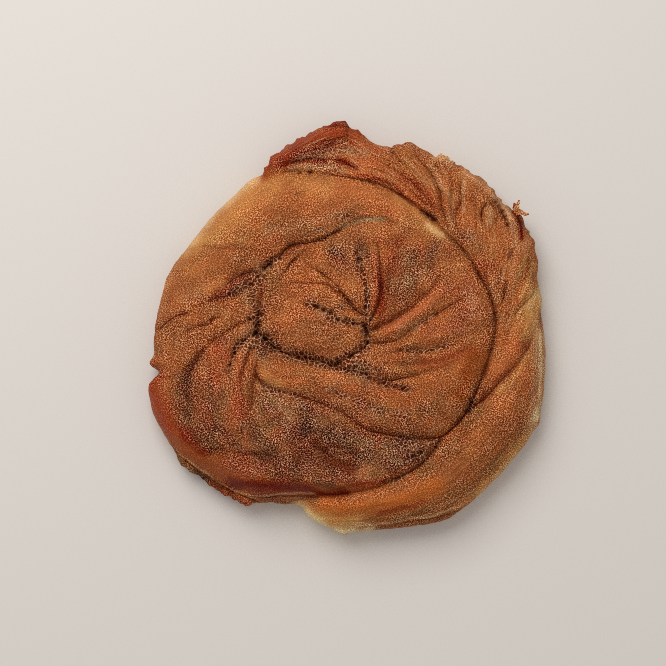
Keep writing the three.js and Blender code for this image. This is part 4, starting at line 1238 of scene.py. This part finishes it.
def makeCrust():
    material = bpy.data.materials.new("crust")
    material.use_nodes = True
    nodes, links = material.node_tree.nodes, material.node_tree.links
    shader = nodes["Principled BSDF"]

    def put(socket, value):
        if isinstance(value, bpy.types.NodeSocket):
            links.new(value, socket)
        else:
            socket.default_value = value

    def math2(operation, a, b=0.0):
        node = nodes.new("ShaderNodeMath")
        node.operation = operation
        put(node.inputs[0], a)
        put(node.inputs[1], b)
        return node.outputs[0]

    def ramp(value, low, high, toLow=0.0, toHigh=1.0):
        node = nodes.new("ShaderNodeMapRange")
        node.interpolation_type = "SMOOTHSTEP"
        put(node.inputs["Value"], value)
        put(node.inputs["From Min"], low)
        put(node.inputs["From Max"], high)
        put(node.inputs["To Min"], toLow)
        put(node.inputs["To Max"], toHigh)
        return node.outputs["Result"]

    def times(*factors):
        product = factors[0]
        for factor in factors[1:]:
            product = math2("MULTIPLY", product, factor)
        return product

    def mix(factor, a, b, blend="MIX"):
        node = nodes.new("ShaderNodeMix")
        node.data_type = "RGBA"
        node.blend_type = blend
        node.clamp_result = True
        put(node.inputs["Factor"], factor)
        put(node.inputs[6], linear(a) if isinstance(a, tuple) else a)
        put(node.inputs[7], linear(b) if isinstance(b, tuple) else b)
        return node.outputs[2]

    def noiseTexture(vector, scale, detail, dimensions="3D", output="Fac"):
        node = nodes.new("ShaderNodeTexNoise")
        node.noise_dimensions = dimensions
        put(node.inputs["Vector"], vector)
        put(node.inputs["Scale"], scale)
        put(node.inputs["Detail"], detail)
        return node.outputs[output]

    def cellEdge(vector, size):
        node = nodes.new("ShaderNodeTexVoronoi")
        node.voronoi_dimensions = "2D"
        node.feature = "DISTANCE_TO_EDGE"
        put(node.inputs["Vector"], vector)
        put(node.inputs["Scale"], 1 / size)
        return node.outputs["Distance"]

    def gamma(color, power):
        node = nodes.new("ShaderNodeGamma")
        put(node.inputs["Color"], color)
        put(node.inputs["Gamma"], power)
        return node.outputs["Color"]

    def mask(name, output="Fac"):
        node = nodes.new("ShaderNodeAttribute")
        node.attribute_name = name
        return node.outputs[output]

    place = nodes.new("ShaderNodeTexCoord").outputs["Object"]
    warp = nodes.new("ShaderNodeVectorMath")
    warp.operation = "MULTIPLY_ADD"
    put(warp.inputs[0], noiseTexture(place, crust["warpScale"], 2.0, output="Color"))
    put(warp.inputs[1], [crust["warpLength"]] * 3)
    put(warp.inputs[2], mask("skin", "Vector"))
    slant = nodes.new("ShaderNodeVectorRotate")
    slant.rotation_type = "Z_AXIS"
    put(slant.inputs["Vector"], warp.outputs["Vector"])
    put(slant.inputs["Angle"], crust["grainSlant"])

    smooth, sponge, openPores, gloss, streaky = (mask(name) for name in roll["texture"])
    cell = cellEdge(warp.outputs["Vector"], crust["poreSize"])
    grain = noiseTexture(slant.outputs["Vector"], 1 / crust["grainSize"], 0.0, "2D")
    sandy = noiseTexture(place, crust["sandScale"], 0.0)
    patchy = noiseTexture(place, crust["patchScale"], 3.0)
    streak = noiseTexture(mask("strand", "Vector"), crust["streakScale"], 2.0)

    # fine grain, little of it on smooth crust
    porous = times(
        ramp(smooth, 0.1, 0.9, 1.0, crust["smoothGrain"]),
        ramp(sponge, 0.1, 0.9, 1.0, crust["spongeGrain"]),
        ramp(mask("wrinkle"), 0.25, 0.75, 0.8, 1.1),
        ramp(patchy, 0.36, 0.64, 0.75, 1.2),
    )
    bright = times(ramp(grain, 0.53, 0.74), porous)
    dark = times(ramp(grain, 0.52, 0.3), porous)

    # open pores with pale rims and painted shade in their pits
    near = ramp(openPores, 0.15, 0.55)
    pitAndFlankShade = times(ramp(cell, 0.12, 0.22), near, ramp(patchy, 0.38, 0.54, 0.25, 1.0))
    crumb = times(ramp(cell, 0.1, 0.02), ramp(sandy, 0.47, 0.6), near)

    # painted shade: a dark line down each crease, broken up, with soft painted shade beside it
    side, away, creaseShade = mask("side"), mask("away"), mask("creaseShade")
    broken = ramp(noiseTexture(place, crust["breakScale"], 1.0), 0.36, 0.52, 0.4, 1.0)
    beads = ramp(cell, 0.03, 0.16, math2("SUBTRACT", 1.0, math2("MULTIPLY", near, 0.9)), 1.0)
    narrow = times(ramp(math2("ABSOLUTE", side), 1.1, 0.4), ramp(away, 2.6, 1.8))
    line = times(narrow, math2("POWER", creaseShade, 1.2), broken, beads)
    shade = times(ramp(away, 5.0, 0.6), creaseShade, ramp(near, 0.0, 1.0, 0.4, 0.2))

    color = mask("tint", "Color")
    # painted highlights and shadows along the torn strand's streaks: tan where the streaks rise, red-brown in
    # their grooves
    for name, low, high in (("redBrown", 0.5, 0.34), ("tan", 0.52, 0.68)):
        drawn = ramp(streak, low, high, 0.0, crust["streakLightAndShade"])
        color = mix(math2("MULTIPLY", streaky, drawn), color, crust[name])
    color = gamma(color, 1 / crust["lightness"])
    # pale flecks, partly the dough's pale skin and partly painted glints
    color = mix(math2("MULTIPLY", bright, crust["grainLift"]), color, crust["fleckAndGlint"], "ADD")
    color = mix(math2("MULTIPLY", dark, crust["grainDrop"]), color, crust["speck"], "SUBTRACT")
    color = gamma(color, crust["lightness"])
    # painted shade beside each crease, then the painted dark line down it
    color = mix(shade, color, crust["pitAndFlankShade"], "MULTIPLY")
    color = mix(line, color, mix(ramp(creaseShade, 0.6, 1.0), crust["crease"], crust["deep"]))
    # painted shade in the pores' pits and in the big pores' holes
    pits = math2("MULTIPLY", pitAndFlankShade, crust["pitCover"])
    holes = math2("MULTIPLY", mask("hole"), crust["holeCover"])
    color = mix(math2("MAXIMUM", pits, holes), color, crust["deep"])
    color = mix(math2("MULTIPLY", crumb, crust["crumbCover"]), color, crust["crumb"])
    put(shader.inputs["Base Color"], color)

    put(shader.inputs["Roughness"], ramp(gloss, 0.2, 0.9, crust["roughness"], crust["glossRoughness"]))
    put(shader.inputs["Specular IOR Level"], ramp(gloss, 0.2, 0.9, crust["specular"], crust["glossSpecular"]))

    height = math2("MULTIPLY", grain, porous)
    height = math2("SUBTRACT", height, math2("MULTIPLY", pitAndFlankShade, crust["pitDepth"]))
    height = math2("ADD", height, times(streak, streaky, crust["streakRelief"]))
    bump = nodes.new("ShaderNodeBump")
    put(bump.inputs["Strength"], crust["bump"])
    put(bump.inputs["Distance"], crust["grainHeight"])
    put(bump.inputs["Height"], height)
    put(shader.inputs["Normal"], bump.outputs["Normal"])
    return material


rollPiece = makeRoll()
flakePiece = makeFlakes()
crustMaterial = makeCrust()
for piece in (rollPiece, flakePiece):
    piece.data.materials.append(crustMaterial)
    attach(piece, "root")
    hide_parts("roll")
print("crust made")

# Floor, light and camera, sizes in metres
studio = {
    "floorSize": 4.0,
    "floorColor": (219, 213, 206),
    "floorRoughness": 0.6,
    "ambient": 0.5,
    "ambientColor": (1, 0.98, 0.96, 1),
    "keyPlace": (-0.28, 0.55, 0.8),
    "keySize": 0.7,
    "keyPower": 6.8,
    "target": (-0.0055, -0.0021, 0.012),
    "distance": 0.7,
    "tilt": 3.4,  # degrees away from straight down
    "lens": 102,
    "nearest": 0.01,
    "filterWidth": 0.9,
}


def makeStudio():
    scene = bpy.context.scene
    bm = bmesh.new()
    bmesh.ops.create_grid(bm, x_segments=1, y_segments=1, size=studio["floorSize"] / 2)
    mesh = bpy.data.meshes.new("floor")
    bm.to_mesh(mesh)
    bm.free()
    floor = addObject("floor", mesh)
    matt = bpy.data.materials.new("floor")
    matt.use_nodes = True
    shader = matt.node_tree.nodes["Principled BSDF"]
    shader.inputs["Base Color"].default_value = linear(studio["floorColor"])
    shader.inputs["Roughness"].default_value = studio["floorRoughness"]
    mesh.materials.append(matt)

    world = bpy.data.worlds.new("studio")
    world.use_nodes = True
    background = world.node_tree.nodes["Background"]
    background.inputs["Color"].default_value = studio["ambientColor"]
    background.inputs["Strength"].default_value = studio["ambient"]
    scene.world = world

    lamp = bpy.data.lights.new("key", "AREA")
    lamp.size = studio["keySize"]
    lamp.energy = studio["keyPower"]
    key = addObject("key", lamp)
    key.location = studio["keyPlace"]
    key.rotation_euler = (-Vector(studio["keyPlace"])).to_track_quat("-Z", "Y").to_euler()

    lens = bpy.data.cameras.new("camera")
    lens.lens = studio["lens"]
    lens.clip_start = studio["nearest"]
    camera = addObject("camera", lens)
    tilt = math.radians(studio["tilt"])
    away = Vector((0, -math.sin(tilt), math.cos(tilt))) * studio["distance"]
    camera.location = Vector(studio["target"]) + away
    camera.rotation_euler = (tilt, 0, 0)
    bpy.context.scene.camera = camera
    scene.view_settings.view_transform = "Standard"
    scene.cycles.filter_width = studio["filterWidth"]
    scene.cycles.use_denoising = False  # it wipes out the fine grain
    print("studio made")


makeStudio()
